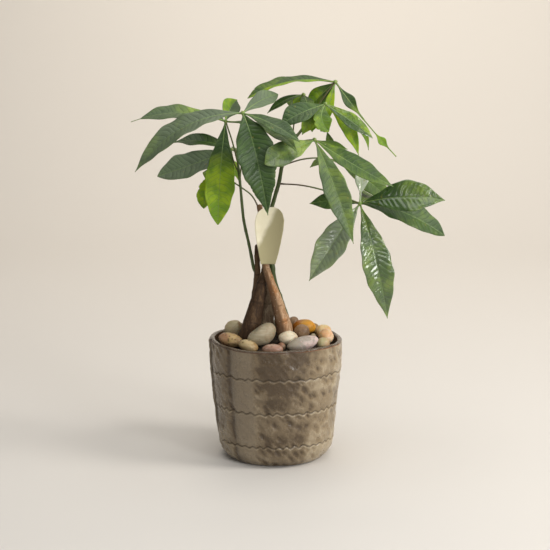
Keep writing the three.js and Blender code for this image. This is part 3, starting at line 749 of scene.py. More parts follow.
def leaf_look(settings):
    """Waxy leaf: dark to fresh green with painted glow, painted highlights on the crests between side veins
    and beside them, painted sheen, a pale rib and underside
    """
    look, nodes, shader, place = new_look("leaf_blade")
    under = nodes.attribute("under")
    edge = nodes.attribute("edge")
    phase = nodes.attribute("phase")
    patch = nodes.noise(place, 0.06, 4.0, 0.55, 0.4)
    spread = nodes.minus(patch, 0.5)
    # Painted highlight: the crests of the pucker between side veins are made lighter, as if lit
    painted_crest_highlight = nodes.step(nodes.math("PINGPONG", phase, 0.5), 0.06, 0.42)
    lighter = nodes.plus(nodes.times(painted_crest_highlight, 0.3), nodes.times(spread, 1.7), True)
    mature = nodes.mix(lighter, settings.mature, settings.mature_light)
    # Fresh is partly young colour and partly painted glow of light shining through the blade
    share = nodes.plus(nodes.attribute("fresh"), nodes.times(spread, 0.6))
    fresh_and_glow_share = nodes.step(share, 0.12, 0.9)
    young = nodes.mix(nodes.step(patch, 0.4, 0.62), settings.fresh, settings.fresh_yellow)
    green = nodes.mix(fresh_and_glow_share, mature, young)
    green = nodes.mix(nodes.times(under, 0.55), green, settings.underside)
    # Painted sheen: pale mixes in a grey-green that stands for light reflected by the blade
    green = nodes.mix(nodes.attribute("pale"), green, (0.62, 0.66, 0.55))
    # Side veins: their own darker lines, deepened by painted shade in the grooves where they lie
    line = nodes.step(nodes.math("PINGPONG", phase, 0.5), 0.07, 0.0)
    line = nodes.times(line, nodes.step(edge, 0.4, 3.0))
    green = nodes.mix(nodes.times(line, 0.45), green, settings.line)
    # Painted highlight: a light line on one side of each side vein, where the fold would catch the light
    beside = nodes.math("ABSOLUTE", nodes.minus(nodes.math("FRACT", phase), 0.15))
    painted_ridge_highlight = nodes.times(nodes.step(beside, 0.09, 0.0), nodes.step(edge, 0.4, 3.0, 0.0, 0.3))
    green = nodes.mix(painted_ridge_highlight, green, settings.painted_ridge_highlight)
    rib = nodes.step(nodes.attribute("across"), 0.6, 0.15, 0.0, 0.5)
    green = nodes.mix(rib, green, settings.vein)
    rim = nodes.step(edge, 0.5, 0.1, 0.0, 0.25)
    green = nodes.mix(rim, green, settings.vein)
    spots = speckle(nodes, place, 3.2, 0.025)
    green = nodes.mix(nodes.times(spots, 0.45), green, (0.22, 0.2, 0.04))
    nodes.give(shader["Base Color"], green)
    drops = nodes.times(speckle(nodes, place, 1.7, 0.4), nodes.attribute("wet"))
    rough = nodes.step(nodes.attribute("gloss"), 0.0, 1.0, settings.dull, settings.shine)
    rough = nodes.plus(rough, nodes.times(fresh_and_glow_share, 0.12))
    rough = nodes.plus(rough, nodes.times(under, 0.2))
    rough = nodes.plus(rough, nodes.times(patch, 0.08))
    rough = nodes.minus(rough, nodes.times(drops, 0.4), True)
    nodes.give(shader["Roughness"], nodes.math("MAXIMUM", rough, 0.06))
    shader["Specular IOR Level"].default_value = 0.4
    polish = nodes.step(nodes.attribute("gloss"), 0.3, 1.0, 0.0, 0.9)
    nodes.give(shader["Coat Weight"], nodes.times(polish, nodes.minus(1.0, under)))
    shader["Coat Roughness"].default_value = 0.14
    nodes.give(shader["Subsurface Weight"], nodes.times(fresh_and_glow_share, settings.glow))
    shader["Subsurface Radius"].default_value = (0.55, 1.0, 0.12)
    shader["Subsurface Scale"].default_value = 1.0 * MM
    net = nodes.add(
        "ShaderNodeTexVoronoi", {"Vector": place, "Scale": 0.5}, feature="DISTANCE_TO_EDGE"
    ).outputs[0]
    height = nodes.minus(nodes.step(net, 0.0, 0.12), nodes.times(line, 2.5))
    fine = nodes.bump(height, 0.06, 0.8)
    nodes.give(shader["Normal"], nodes.bump(drops, 0.5, 1.0, fine))
    return look


def stalk_look(settings):
    """Leaf stalks: green with a brown flush"""
    look, nodes, shader, place = new_look("leaf_stalk")
    flush = nodes.step(nodes.noise(place, 0.03, 2.0), 0.4, 0.6)
    colour = nodes.mix(flush, settings.stalk, settings.stalk_brown)
    nodes.give(shader["Base Color"], colour)
    shader["Roughness"].default_value = 0.42
    nodes.give(shader["Normal"], nodes.bump(grain(nodes, place, 3.0, 0.8), 0.1, 0.5))
    return look


def rib_look(settings):
    """Hubs and the leaves' main ribs: pale yellow-green"""
    look, nodes, shader, place = new_look("leaf_rib")
    cloud = nodes.noise(place, 0.12, 3.0)
    nodes.give(shader["Base Color"], nodes.mix(cloud, settings.vein, settings.rib))
    shader["Roughness"].default_value = 0.45
    shader["Subsurface Weight"].default_value = 0.3
    shader["Subsurface Scale"].default_value = 1.0 * MM
    nodes.give(shader["Normal"], nodes.bump(grain(nodes, place, 2.0, 0.6), 0.08, 0.5))
    return look


def shoot_look(settings):
    """Young bark: dark green with brown flecks and a brown foot"""
    look, nodes, shader, place = new_look("green_shoot")
    streaks = nodes.noise(place, (0.8, 0.8, 0.12), 4.0)
    green = nodes.mix(streaks, settings.shoot, settings.shoot_light)
    flecks = speckle(nodes, place, 1.6, 0.12)
    green = nodes.mix(nodes.times(flecks, 0.6), green, (0.16, 0.12, 0.06))
    nodes.give(shader["Base Color"], green)
    nodes.give(shader["Roughness"], nodes.step(streaks, 0.2, 0.8, 0.38, 0.6))
    nodes.give(shader["Normal"], nodes.bump(grain(nodes, place, 2.5, 0.7), 0.2, 0.6))
    return look


def bark_look(name, dark, light, patch, shade=0.0):
    """Bark: upright streaks, ring scars and worn patches. Shade is painted shade: it darkens the side
    facing away from the right, and the top
    """
    look, nodes, shader, place = new_look(name)
    streaks = nodes.noise(place, (0.7, 0.7, 0.06), 5.0, 0.65)
    colour = nodes.mix(nodes.step(streaks, 0.35, 0.7), dark, light)
    worn = nodes.noise(place, (0.12, 0.12, 0.05), 4.0, 0.6)
    colour = nodes.mix(nodes.step(worn, 0.52, 0.7, 0.0, 0.8), colour, patch)
    fibres = nodes.noise(place, (1.6, 1.6, 0.12), 3.0, 0.6)
    colour = nodes.mix(nodes.step(fibres, 0.5, 0.68, 0.0, 0.45), colour, toned(dark, 0.45))
    if shade:
        flush = nodes.step(nodes.noise(place, 0.1, 2.0), 0.5, 0.64, 0.0, 0.7)
        colour = nodes.mix(flush, colour, BARK_FLUSH)
        # Painted shade: the bark is darkened on its side facing away from the right and above the painted
        # shade heights
        left = nodes.step(nodes.attribute("right"), 0.35, -0.15, 0.0, shade)
        height = nodes.add("ShaderNodeSeparateXYZ", {0: place}).outputs["Z"]
        painted_shade = nodes.math("MAXIMUM", left, nodes.step(height, *BARK_PAINTED_SHADE_HEIGHTS, 0.0, shade))
        colour = nodes.mix(painted_shade, colour, toned(dark, 0.3))
    scar = nodes.attribute("scar")
    broken = nodes.step(nodes.noise(place, 0.25, 3.0), 0.4, 0.6)
    scar = nodes.times(scar, broken)
    colour = nodes.mix(nodes.times(scar, 0.8), colour, toned(dark, 0.35))
    dots = speckle(nodes, place, 1.3, 0.12)
    colour = nodes.mix(nodes.times(dots, 0.4), colour, toned(patch, 1.4))
    nodes.give(shader["Base Color"], colour)
    nodes.give(shader["Roughness"], nodes.step(streaks, 0.2, 0.8, 0.55, 0.8))
    shader["Specular IOR Level"].default_value = 0.25
    height = nodes.plus(grain(nodes, place, 4.0, 0.8), nodes.times(fibres, 0.8))
    nodes.give(shader["Normal"], nodes.bump(height, 0.6, 0.8))
    return look


def glaze_look(settings):
    """Stoneware glaze: dark where it pools, pale where it thins, greyer on the smooth panel and lip, made
    lighter by painted light on its right side, and darkened along the lapped seam by a painted shadow line
    """
    look, nodes, shader, place = new_look("stoneware_glaze")
    pool = nodes.attribute("pool")
    warm = nodes.attribute("warm")
    lip = nodes.attribute("lip")
    mottle = nodes.noise(place, 0.11, 5.0, 0.62, 0.5)
    fine = nodes.noise(place, (0.35, 0.35, 0.28), 5.0, 0.65, 0.6)
    depth = nodes.plus(pool, nodes.times(nodes.minus(mottle, 0.5), 0.7))
    depth = nodes.plus(depth, nodes.times(nodes.minus(fine, 0.5), 0.9))
    # Painted light: the glaze and the thin glaze are made lighter on the pot's right side
    body = nodes.mix(warm, settings.glaze, settings.glaze_painted_light)
    pale = nodes.mix(warm, settings.thinned, settings.thinned_painted_light)
    colour = nodes.mix(nodes.step(depth, 0.35, 0.95), body, settings.pooled)
    colour = nodes.mix(nodes.step(depth, 0.35, -0.3, 0.0, 0.9), colour, pale)
    grey = nodes.mix(mottle, settings.panel, settings.thinned)
    colour = nodes.mix(nodes.times(nodes.attribute("panel"), 0.75), colour, grey)
    # The groove colour also paints the shadow line along the lapped seam
    cut = nodes.attribute("groove")
    grooves = nodes.times(cut, 0.75)
    colour = nodes.mix(grooves, colour, settings.groove)
    edge = nodes.step(nodes.math("PINGPONG", lip, 0.5), 0.05, 0.25)
    rust = nodes.times(edge, nodes.step(nodes.noise(place, 0.05, 3.0), 0.3, 0.5, 0.35, 1.0))
    colour = nodes.mix(nodes.times(nodes.step(lip, 0.3, 0.8), 0.8), colour, settings.lip)
    # Painted light: the rust on the pot's right side is made lighter and more orange
    burnt = nodes.mix(warm, settings.rust, settings.rust_painted_light)
    colour = nodes.mix(nodes.times(rust, 0.85), colour, burnt)
    iron = speckle(nodes, place, 1.1, 0.06)
    colour = nodes.mix(nodes.times(iron, 0.5), colour, (0.06, 0.04, 0.025))
    nodes.give(shader["Base Color"], colour)
    rough = nodes.step(mottle, 0.3, 0.7, 0.24, 0.4)
    rough = nodes.plus(rough, nodes.times(cut, 0.3))
    nodes.give(shader["Roughness"], nodes.minus(rough, nodes.times(lip, 0.16)))
    nodes.give(shader["Coat Weight"], nodes.step(cut, 0.2, 0.9, 0.2, 0.0))
    shader["Coat Roughness"].default_value = 0.12
    height = nodes.plus(grain(nodes, place, 5.0, 1.2), nodes.times(fine, 1.2))
    nodes.give(shader["Normal"], nodes.bump(height, 0.7, 0.8))
    return look


# A stone's colour runs from its left end over its middle to its right end
StoneLook = namedtuple("StoneLook", "left middle right speck speck_size speck_share veil")
PALE = StoneLook(
    (0.29, 0.25, 0.165), (0.34, 0.29, 0.195), (0.29, 0.235, 0.15), (0.2, 0.14, 0.08), 1.8, 0.06, 0.08
)
GREY = StoneLook(
    (0.27, 0.25, 0.16), (0.22, 0.21, 0.14), (0.19, 0.18, 0.12), (0.1, 0.09, 0.06), 1.0, 0.1, 0.1
)
OCHRE = StoneLook(
    (0.36, 0.20, 0.11), (0.40, 0.28, 0.12), (0.27, 0.17, 0.07), (0.06, 0.03, 0.01), 3.0, 0.45, 0.05
)
ROSE = StoneLook(
    (0.22, 0.13, 0.085), (0.32, 0.18, 0.125), (0.28, 0.155, 0.105), (0.16, 0.07, 0.04), 2.2, 0.25, 0.08
)
LILAC = StoneLook(
    (0.29, 0.25, 0.19), (0.29, 0.25, 0.21), (0.55, 0.43, 0.40), (0.24, 0.19, 0.14), 1.6, 0.1, 0.05
)
AMBER = StoneLook(
    (0.30, 0.10, 0.008), (0.44, 0.22, 0.03), (0.58, 0.26, 0.013), (0.28, 0.08, 0.01), 3.0, 0.2, 0.02
)
BROWN = StoneLook(
    (0.26, 0.16, 0.085), (0.23, 0.135, 0.07), (0.15, 0.085, 0.045), (0.38, 0.27, 0.17), 2.2, 0.35, 0.03
)
PEACH = StoneLook(
    (0.64, 0.38, 0.17), (0.58, 0.33, 0.16), (0.68, 0.48, 0.30), (0.72, 0.52, 0.36), 2.4, 0.15, 0.15
)
STONE_LOOKS = {
    "pebble_pale": PALE,
    "pebble_grey": GREY,
    "pebble_ochre": OCHRE,
    "pebble_rose": ROSE,
    "pebble_lilac": LILAC,
    "pebble_amber": AMBER,
    "pebble_brown": BROWN,
    "pebble_peach": PEACH,
}
OWN_STONE_LOOKS = {
    "pebble_grey_green": GREY._replace(
        left=(0.42, 0.34, 0.20), middle=(0.48, 0.40, 0.25), right=(0.26, 0.17, 0.08)
    ),
    "pebble_tan": OCHRE._replace(left=(0.40, 0.30, 0.15), middle=(0.44, 0.34, 0.19), speck_share=0.08),
    "pebble_white_egg": PALE._replace(
        left=(0.62, 0.53, 0.38), middle=(0.72, 0.64, 0.49), right=(0.54, 0.44, 0.30)
    ),
    "pebble_pale_yellow": PEACH._replace(
        left=(0.62, 0.46, 0.20), middle=(0.64, 0.48, 0.24), right=(0.58, 0.36, 0.16)
    ),
    "pebble_greenish": PALE._replace(
        left=(0.43, 0.37, 0.20), middle=(0.40, 0.34, 0.18), right=(0.48, 0.32, 0.18)
    ),
    "pebble_dark": BROWN._replace(left=(0.16, 0.08, 0.05), middle=(0.24, 0.11, 0.06), speck_share=0.05),
}


def stone_look(name, kind, middle=0, reach=100):
    """River stone: its ends differ in colour, with clouds, specks and a worn satin skin"""
    look, nodes, shader, place = new_look(name)
    cloud = nodes.noise(place, 0.11, 4.0, 0.6, 1.2)
    x = nodes.add("ShaderNodeSeparateXYZ", {0: place}).outputs["X"]
    along = nodes.math("DIVIDE", nodes.minus(x, middle), reach)
    along = nodes.plus(along, nodes.times(nodes.minus(cloud, 0.5), 3.0))
    colour = nodes.mix(nodes.step(along, -0.7, 0.1), kind.left, kind.middle)
    colour = nodes.mix(nodes.step(along, 0.0, 0.8), colour, kind.right)
    layers = nodes.noise(place, (0.06, 0.1, 0.5), 4.0, 0.6)
    veil = nodes.step(layers, 0.5, 0.7, 0.0, kind.veil * 2)
    colour = nodes.mix(veil, colour, (0.75, 0.7, 0.6))
    specks = speckle(nodes, place, kind.speck_size, kind.speck_share)
    colour = nodes.mix(nodes.times(specks, 0.7), colour, kind.speck)
    nodes.give(shader["Base Color"], colour)
    nodes.give(shader["Roughness"], nodes.step(cloud, 0.3, 0.7, 0.34, 0.52))
    shader["Specular IOR Level"].default_value = 0.35
    shader["Subsurface Weight"].default_value = kind.veil
    shader["Subsurface Scale"].default_value = 1.5 * MM
    nodes.give(shader["Normal"], nodes.bump(grain(nodes, place, 3.0, 0.6), 0.15, 0.5))
    return look


def soil_look(settings):
    """Damp potting mix: near-black crumbs with brown fibres"""
    look, nodes, shader, place = new_look("soil_crumbs")
    crumbs = nodes.noise(place, 0.5, 5.0, 0.7)
    colour = nodes.mix(nodes.step(crumbs, 0.4, 0.7), settings.soil, settings.fibre)
    bits = speckle(nodes, place, 1.8, 0.05)
    colour = nodes.mix(bits, colour, (0.16, 0.11, 0.06))
    nodes.give(shader["Base Color"], colour)
    shader["Roughness"].default_value = 0.9
    nodes.give(shader["Normal"], nodes.bump(crumbs, 1.5, 0.9))
    return look


def paper_look(settings):
    """Uncoated card: cream on its upper left, darkened to olive past a soft slanting line by painted shade,
    with fibres
    """
    look, nodes, shader, place = new_look("tag_card")
    cloud = nodes.noise(place, 0.12, 3.0)
    beyond = nodes.add(
        "ShaderNodeVectorMath", {0: place, 1: TAG_SHADE_WAY}, operation="DOT_PRODUCT"
    ).outputs["Value"]
    beyond = nodes.plus(beyond, nodes.times(cloud, 3.0))
    cream = nodes.mix(cloud, settings.paper, settings.paper_low)
    # Painted shade: the card past the slanting line is darkened to olive
    colour = nodes.mix(nodes.step(beyond, TAG_SHADE_FROM, TAG_SHADE_TO), cream, settings.paper_painted_shade)
    fibres = nodes.noise(place, (2.2, 2.2, 0.5), 4.0, 0.7)
    colour = nodes.mix(nodes.step(fibres, 0.55, 0.75, 0.0, 0.2), colour, (0.5, 0.42, 0.26))
    nodes.give(shader["Base Color"], colour)
    shader["Roughness"].default_value = 0.75
    nodes.give(shader["Normal"], nodes.bump(fibres, 0.06, 0.6))
    return look


# What a user can change


def colour_value(label, about, default):
    return FloatVectorProperty(
        name=label, description=about, default=default, min=0, max=1, size=3, subtype="COLOR"
    )


def number_value(label, about, default, low, high, **kind):
    return FloatProperty(name=label, description=about, default=default, min=low, max=high, **kind)


def share_value(label, about, default):
    return number_value(label, about, default, 0, 1, subtype="FACTOR")


def power_value(label, about, default):
    return number_value(label, about, default, 0, 200, unit="POWER")


class PotSettings(bpy.types.PropertyGroup):
    dent_depth: number_value("Dent depth", "Depth of the beaten bowls in millimetres", 0.6, 0, 2)
    groove_depth: number_value("Groove depth", "Depth of the wavy lines in millimetres", 0.9, 0, 2)
    groove_wave: number_value("Groove wave", "How far a wavy line swings, in millimetres", 1.3, 0, 3)
    glaze: colour_value("Glaze", "The glaze's main colour", (0.15, 0.108, 0.060))
    # The warm colours are copies of the glaze, thin glaze and rust, lightened with painted light for the
    # pot's right side
    glaze_painted_light: colour_value("Warm glaze", "The glaze's warmer side", (0.25, 0.185, 0.105))
    pooled: colour_value("Pooled glaze", "The glaze where it gathers in dents", (0.068, 0.042, 0.018))
    thinned: colour_value("Thin glaze", "The glaze where it thins over ridges", (0.27, 0.215, 0.14))
    thinned_painted_light: colour_value("Warm thin glaze", "The thin glaze on the warmer side", (0.41, 0.335, 0.225))
    panel: colour_value("Panel", "The greyer glaze of the smooth panel", (0.148, 0.116, 0.082))
    lip: colour_value("Lip", "The glaze on the lip", (0.062, 0.041, 0.025))
    groove: colour_value("Groove", "The bottom of the wavy lines", (0.045, 0.032, 0.018))
    rust: colour_value("Rust", "The lip's edges where the clay burns through", (0.10, 0.042, 0.016))
    rust_painted_light: colour_value("Warm rust", "The same on the warmer side", (0.34, 0.12, 0.03))


class SoilSettings(bpy.types.PropertyGroup):
    grains: IntProperty(
        name="Crumbs", description="How many loose crumbs lie on the mix",
        default=GRAIN_COUNT, min=0, max=2000,
    )
    soil: colour_value("Soil", "Damp mix", (0.018, 0.012, 0.007))
    fibre: colour_value("Fibre", "Drier fibres", (0.07, 0.042, 0.022))


class TrunkSettings(bpy.types.PropertyGroup):
    ring_height: number_value("Ring height", "How far a ring scar stands out, in millimetres", 0.22, 0, 1)
    knots: number_value("Unevenness", "Broad swellings of the bark in millimetres", 0.7, 0, 2)
    bark: colour_value("Bark", "Dark bark", (0.038, 0.019, 0.008))
    bark_light: colour_value("Light bark", "Streaks in the bark", (0.085, 0.048, 0.024))
    worn: colour_value("Worn bark", "Patches where the skin has worn off", (0.15, 0.09, 0.045))
    tan: colour_value("Tan bark", "The sunlit trunk's bark", (0.38, 0.20, 0.095))
    tan_light: colour_value("Light tan bark", "Streaks in the sunlit bark", (0.64, 0.44, 0.28))
    shoot: colour_value("Shoot", "Dark green of the shoots", (0.03, 0.055, 0.012))
    shoot_light: colour_value("Light shoot", "Lighter green of the shoots", (0.085, 0.12, 0.03))


class LeafSettings(bpy.types.PropertyGroup):
    thickness: number_value("Thickness", "Thickness of a blade in millimetres", 0.4, 0.2, 1)
    vein_spacing: number_value("Vein spacing", "Distance between side veins in millimetres", 5.4, 3, 12)
    frill: number_value("Frill", "How far the margin waves, in millimetres", 0.7, 0, 2)
    glow: share_value("Glow", "How much light comes through a young blade", 0.5)
    dull: share_value("Dull", "Roughness of the matte blades", 0.42)
    shine: share_value("Shine", "Roughness of the glossy blades", 0.24)
    mature: colour_value("Mature", "Dark green of old blades", (0.021, 0.056, 0.007))
    # Light mature is the lighter patches of old blades and also the painted highlights on their crests
    mature_light: colour_value(
        "Light mature", "Crests and lighter patches of old blades", (0.066, 0.130, 0.024)
    )
    # Fresh and yellow fresh also stand for painted glow of light shining through the blades
    fresh: colour_value("Fresh", "Green of young blades", (0.14, 0.26, 0.003))
    fresh_yellow: colour_value("Yellow fresh", "Yellower patches of young blades", (0.27, 0.39, 0.004))
    underside: colour_value("Underside", "The lower face of a blade", (0.11, 0.18, 0.05))
    # Side vein is partly the veins' colour and partly painted shade in their grooves
    line: colour_value("Side vein", "The fine lines of the side veins", (0.012, 0.030, 0.006))
    # Ridge is a painted highlight beside each side vein
    painted_ridge_highlight: colour_value("Ridge", "The light fold beside a side vein", (0.16, 0.25, 0.10))
    vein: colour_value("Vein", "The main rib on a blade", (0.15, 0.23, 0.065))
    rib: colour_value("Rib", "Hubs and ribs", (0.22, 0.30, 0.06))
    stalk: colour_value("Stalk", "Leaf stalks", (0.10, 0.13, 0.035))
    stalk_brown: colour_value("Brown stalk", "The stalks' brown flush", (0.085, 0.06, 0.03))


class PebbleSettings(bpy.types.PropertyGroup):
    wear: number_value("Wear", "Flats and hollows of the stones, as a share of their size", 0.1, 0, 0.3)


class TagSettings(bpy.types.PropertyGroup):
    thickness: number_value("Thickness", "Thickness of the card in millimetres", 0.4, 0.2, 1)
    paper: colour_value("Paper", "Cream card", (0.84, 0.79, 0.62))
    paper_low: colour_value("Lower paper", "Clouds in the cream", (0.72, 0.66, 0.46))
    # Paper shade is the colour of the painted shade on the card past the slanting line
    paper_painted_shade: colour_value("Paper shade", "The card past the slanting line", (0.38, 0.34, 0.19))


class StageSettings(bpy.types.PropertyGroup):
    key: power_value("Key", "Power of the lamp at the right", 17)
    top: power_value("Top", "Power of the large lamp above", 17)
    window: power_value("Window", "Power of the low front lamp", 12)
    front: power_value("Front", "Power of the small lamp above the camera", 3)
    catch: power_value("Catch", "Power of the small lamp left of the camera", 1.2)
    wall: power_value("Wall", "Power of the lamp that lights the wall", 15)
    corner: power_value("Corner", "Power of the lamp that lights the wall's right", 6)
    room: number_value("Room", "Strength of the room's light", 0.2, 0, 3)
    floor: colour_value("Floor", "Pale floor", (0.62, 0.60, 0.575))


# Pot


def pot_radius(height):
    return profile_at(POT_PROFILE, height)


def soft_pot_radius(height):
    """The pot's outline with its corners eased"""
    reach = min(4, height * 0.9)
    return (pot_radius(height - reach) + 2 * pot_radius(height) + pot_radius(height + reach)) / 4


def groove_height(level, turn, swing):
    """Where a wavy line runs: it rises to the front and its waves are a little uneven"""
    uneven = noise.noise(Vector((4 * math.cos(turn), 4 * math.sin(turn), level)))
    wave = math.sin(GROOVE_WAVES * turn + 2.5 * uneven)
    return level - GROOVE_RISE * math.sin(turn) + swing * (0.75 + 0.5 * uneven) * wave + 1.2 * uneven


def facet(turn, height):
    """Bowls that the beating tool left, in leaning rows: -1 in a bowl to 1 on its rim, and its pit"""
    around = turn + FACET_LEAN * height
    east, north = WALL_RADIUS * math.cos(around), WALL_RADIUS * math.sin(around)
    nearest, _ = noise.voronoi(Vector((east, north, FACET_SQUASH * height)) / FACET_SIZE)
    return 2 * min(nearest[0] / BOWL_SIZE, 1) ** 1.5 - 1, bell(nearest[0], PIT_SIZE)


def pot_relief(turn, height, settings):
    """How far the wall stands out, how much glaze gathers there, and the shares of groove and skin"""
    degrees = math.degrees(turn) % 360
    dents = math.sin(HAMMER_COLUMNS[0] * turn + HAMMER_ROWS[0] * height)
    dents *= math.sin(HAMMER_ROWS[1] * height - HAMMER_COLUMNS[1] * turn)
    strength = 0.6 + 0.4 * math.cos(turn + HAMMER_SIDE)
    spot = Vector((WALL_RADIUS * math.cos(turn), WALL_RADIUS * math.sin(turn), height))
    panel = soft_span(PANEL_RISE, PANEL_FALL, degrees)
    broad = noise.noise(spot * 0.04 + Vector((3, 8, 2)))
    beaten = (1 - 0.85 * panel) * min(max(0.8 + 1.1 * broad, 0.25), 1.15)
    panel *= 1 - 0.5 * smooth(*PANEL_FOOT, height)
    bowl, pit = facet(turn, height)
    fine = noise.noise(spot * 0.2 + Vector((7, 3, 1)))
    out = 0.35 * strength * dents + settings.dent_depth * beaten * (bowl - 0.6 * pit + 0.6 * fine)
    behind = SEAM_ANGLE - degrees
    if 0 <= behind <= SEAM_SPAN:
        out += SEAM_STEP * (1 - behind / SEAM_SPAN) * smooth(SEAM_FOOT, SEAM_FULL, height)
    out -= CREASE_DEPTH * bell(degrees - CREASE_ANGLE, CREASE_SPAN)
    level = min(GROOVE_HEIGHTS, key=lambda z: abs(z + GROOVE_RISE - height))
    beside = height - groove_height(level, turn, settings.groove_wave)
    shown = 0.25 + 0.75 * smooth(0, SEAM_CLEAR, abs(degrees - SEAM_ANGLE))
    groove = shown * bell(beside, GROOVE_WIDTH)
    swelling = shown * bell(beside + SWELLING_BELOW, SWELLING_WIDTH)
    out += 0.3 * swelling - settings.groove_depth * groove
    band = bell(degrees - CREASE_ANGLE - CREASE_LINE_SHIFT, CREASE_LINE_WIDTH)
    shade = soft_span(SHADE_RISE, SHADE_FALL, degrees)
    low = smooth(*PALE_FOOT, height) * (1 - shade)
    pool = 0.24 + beaten * (0.32 * pit - 0.3 * bowl) - 0.3 * broad - 0.25 * fine - 0.15 * strength * dents
    pool += 0.9 * band + shade * (0.4 + 0.45 * smooth(*SHADE_HEIGHTS, height)) - 0.6 * swelling - 0.5 * low
    # Glaze pooled along the lapped seam, deepened into a painted shadow line under the slab's edge and
    # darkened as a groove
    seam_pool_and_shadow = 1.3 * bell(degrees - SEAM_ANGLE - SEAM_LINE_SHIFT, SEAM_LINE_WIDTH)
    return out, pool, max(groove, seam_pool_and_shadow * smooth(SEAM_FOOT, SEAM_FULL, height)), panel


class MONEYTREE_OT_pot(bpy.types.Operator):
    """Model the hand-built stoneware pot and glaze it"""

    bl_idname = "moneytree.pot"
    bl_label = "Glazed Pot"

    def execute(self, context):
        settings = context.scene.money_tree_pot
        outer = [(soft_pot_radius(z), z) for z in (POT_HEIGHT * k / POT_ROWS for k in range(POT_ROWS))]
        middle = pot_radius(POT_HEIGHT) - LIP_HALF_WIDTH
        lip = [
            (middle + LIP_HALF_WIDTH * math.cos(a), POT_HEIGHT - 1 + LIP_RISE * math.sin(a))
            for a in (math.pi * k / LIP_STEPS for k in range(LIP_STEPS + 1))
        ]
        inner = [(pot_radius(z) - POT_WALL, z) for z in INNER_ROWS]
        floor = [(inner[-1][0] - INNER_FOOT_ROUNDING, POT_FLOOR), (0, POT_FLOOR)]
        bm = spun([(0, 0), (24, 0)] + outer + lip + inner + floor, POT_COLUMNS)
        layers = float_layers(bm, "pool", "lip", "groove", "panel", "warm")
        for vert in bm.verts:
            radius, height = math.hypot(vert.co.x, vert.co.y), vert.co.z
            turn = math.atan2(vert.co.y, vert.co.x)
            if height > 0.5 and radius > pot_radius(height) - 1.2:
                fade = smooth(1, 6, height) * smooth(POT_HEIGHT + 1, POT_HEIGHT - 3, height)
                out, pool, groove, panel = pot_relief(turn, height, settings)
                scale = (radius + out * fade) / radius
                vert.co.x *= scale
                vert.co.y *= scale
                vert[layers["pool"]] = pool
                vert[layers["groove"]] = groove
                vert[layers["panel"]] = panel
                # Painted light: a share that lightens the glaze on the pot's right side
                vert[layers["warm"]] = smooth(0.2, 1, math.cos(turn))
            else:
                vert[layers["pool"]] = 0.5
            sway = RIM_SWAY * (height / POT_HEIGHT) ** RIM_BAND
            vert.co.z += sway * math.sin(2 * turn + 1.1) * math.cos(turn - 2.6)
            edge = smooth(POT_HEIGHT - 3.4, POT_HEIGHT - 0.4, height)
            vert[layers["lip"]] = smooth(POT_HEIGHT - 1.8, POT_HEIGHT - 0.4, height)
            vert.co.z += edge * 0.5 * noise.noise(Vector((5 * math.cos(turn), 5 * math.sin(turn), 2)))
        bmesh.ops.recalc_face_normals(bm, faces=bm.faces)
        add_piece("pot_glazed", bm, [glaze_look(settings)], SLOT_OF["pot"], "pot")
        return {"FINISHED"}


# Soil


def soil_top(radius):
    fall = SOIL_CROWN_HEIGHT - SOIL_EDGE_HEIGHT
    return SOIL_CROWN_HEIGHT - fall * (radius / SOIL_RADIUS) ** 2


class MONEYTREE_OT_soil(bpy.types.Operator):
    """Model the mound of potting mix and strew it with crumbs"""

    bl_idname = "moneytree.soil"
    bl_label = "Potting Mix"

    def execute(self, context):
        settings = context.scene.money_tree_soil
        radii = [SOIL_RADIUS * (1 - k / SOIL_ROWS) for k in range(SOIL_ROWS + 1)]
        bm = spun(SOIL_SIDE + [(radius, soil_top(radius)) for radius in radii], SOIL_COLUMNS)
        for vert in bm.verts:
            if vert.co.z > SOIL_EDGE_HEIGHT - 1:
                vert.co.z += 0.9 * noise.noise(vert.co * 0.35) - 0.6
        bmesh.ops.recalc_face_normals(bm, faces=bm.faces)
        draw = random_draws(GRAIN_SEED)
        for _ in range(settings.grains):
            radius, turn = 60 * math.sqrt(next(draw)), 2 * math.pi * next(draw)
            size = 0.6 + 1.1 * next(draw)
            place = Vector((radius * math.cos(turn), radius * math.sin(turn), soil_top(radius) - 0.5))
            squash = Matrix.Diagonal((1, 0.6 + 0.5 * next(draw), 0.5 + 0.4 * next(draw), 1))
            spin = Matrix.Rotation(6 * next(draw), 4, "Z")
            bmesh.ops.create_icosphere(
                bm, subdivisions=1, radius=size, matrix=Matrix.Translation(place) @ spin @ squash
            )
        add_piece("soil_mix", bm, [soil_look(settings)], SLOT_OF["soil"], "soil")
        return {"FINISHED"}


# Trunks and shoots


def ring_scars(line, seed, spacing):
    """Heights along a stem, in millimetres, of its ring scars"""
    draw = random_draws(seed)
    length = sum((b[0] - a[0]).length for a, b in zip(line, line[1:]))
    scars, at = [], 6.0
    while at < length:
        scars.append(at)
        at += spacing * (0.6 + 0.9 * next(draw))
    return scars


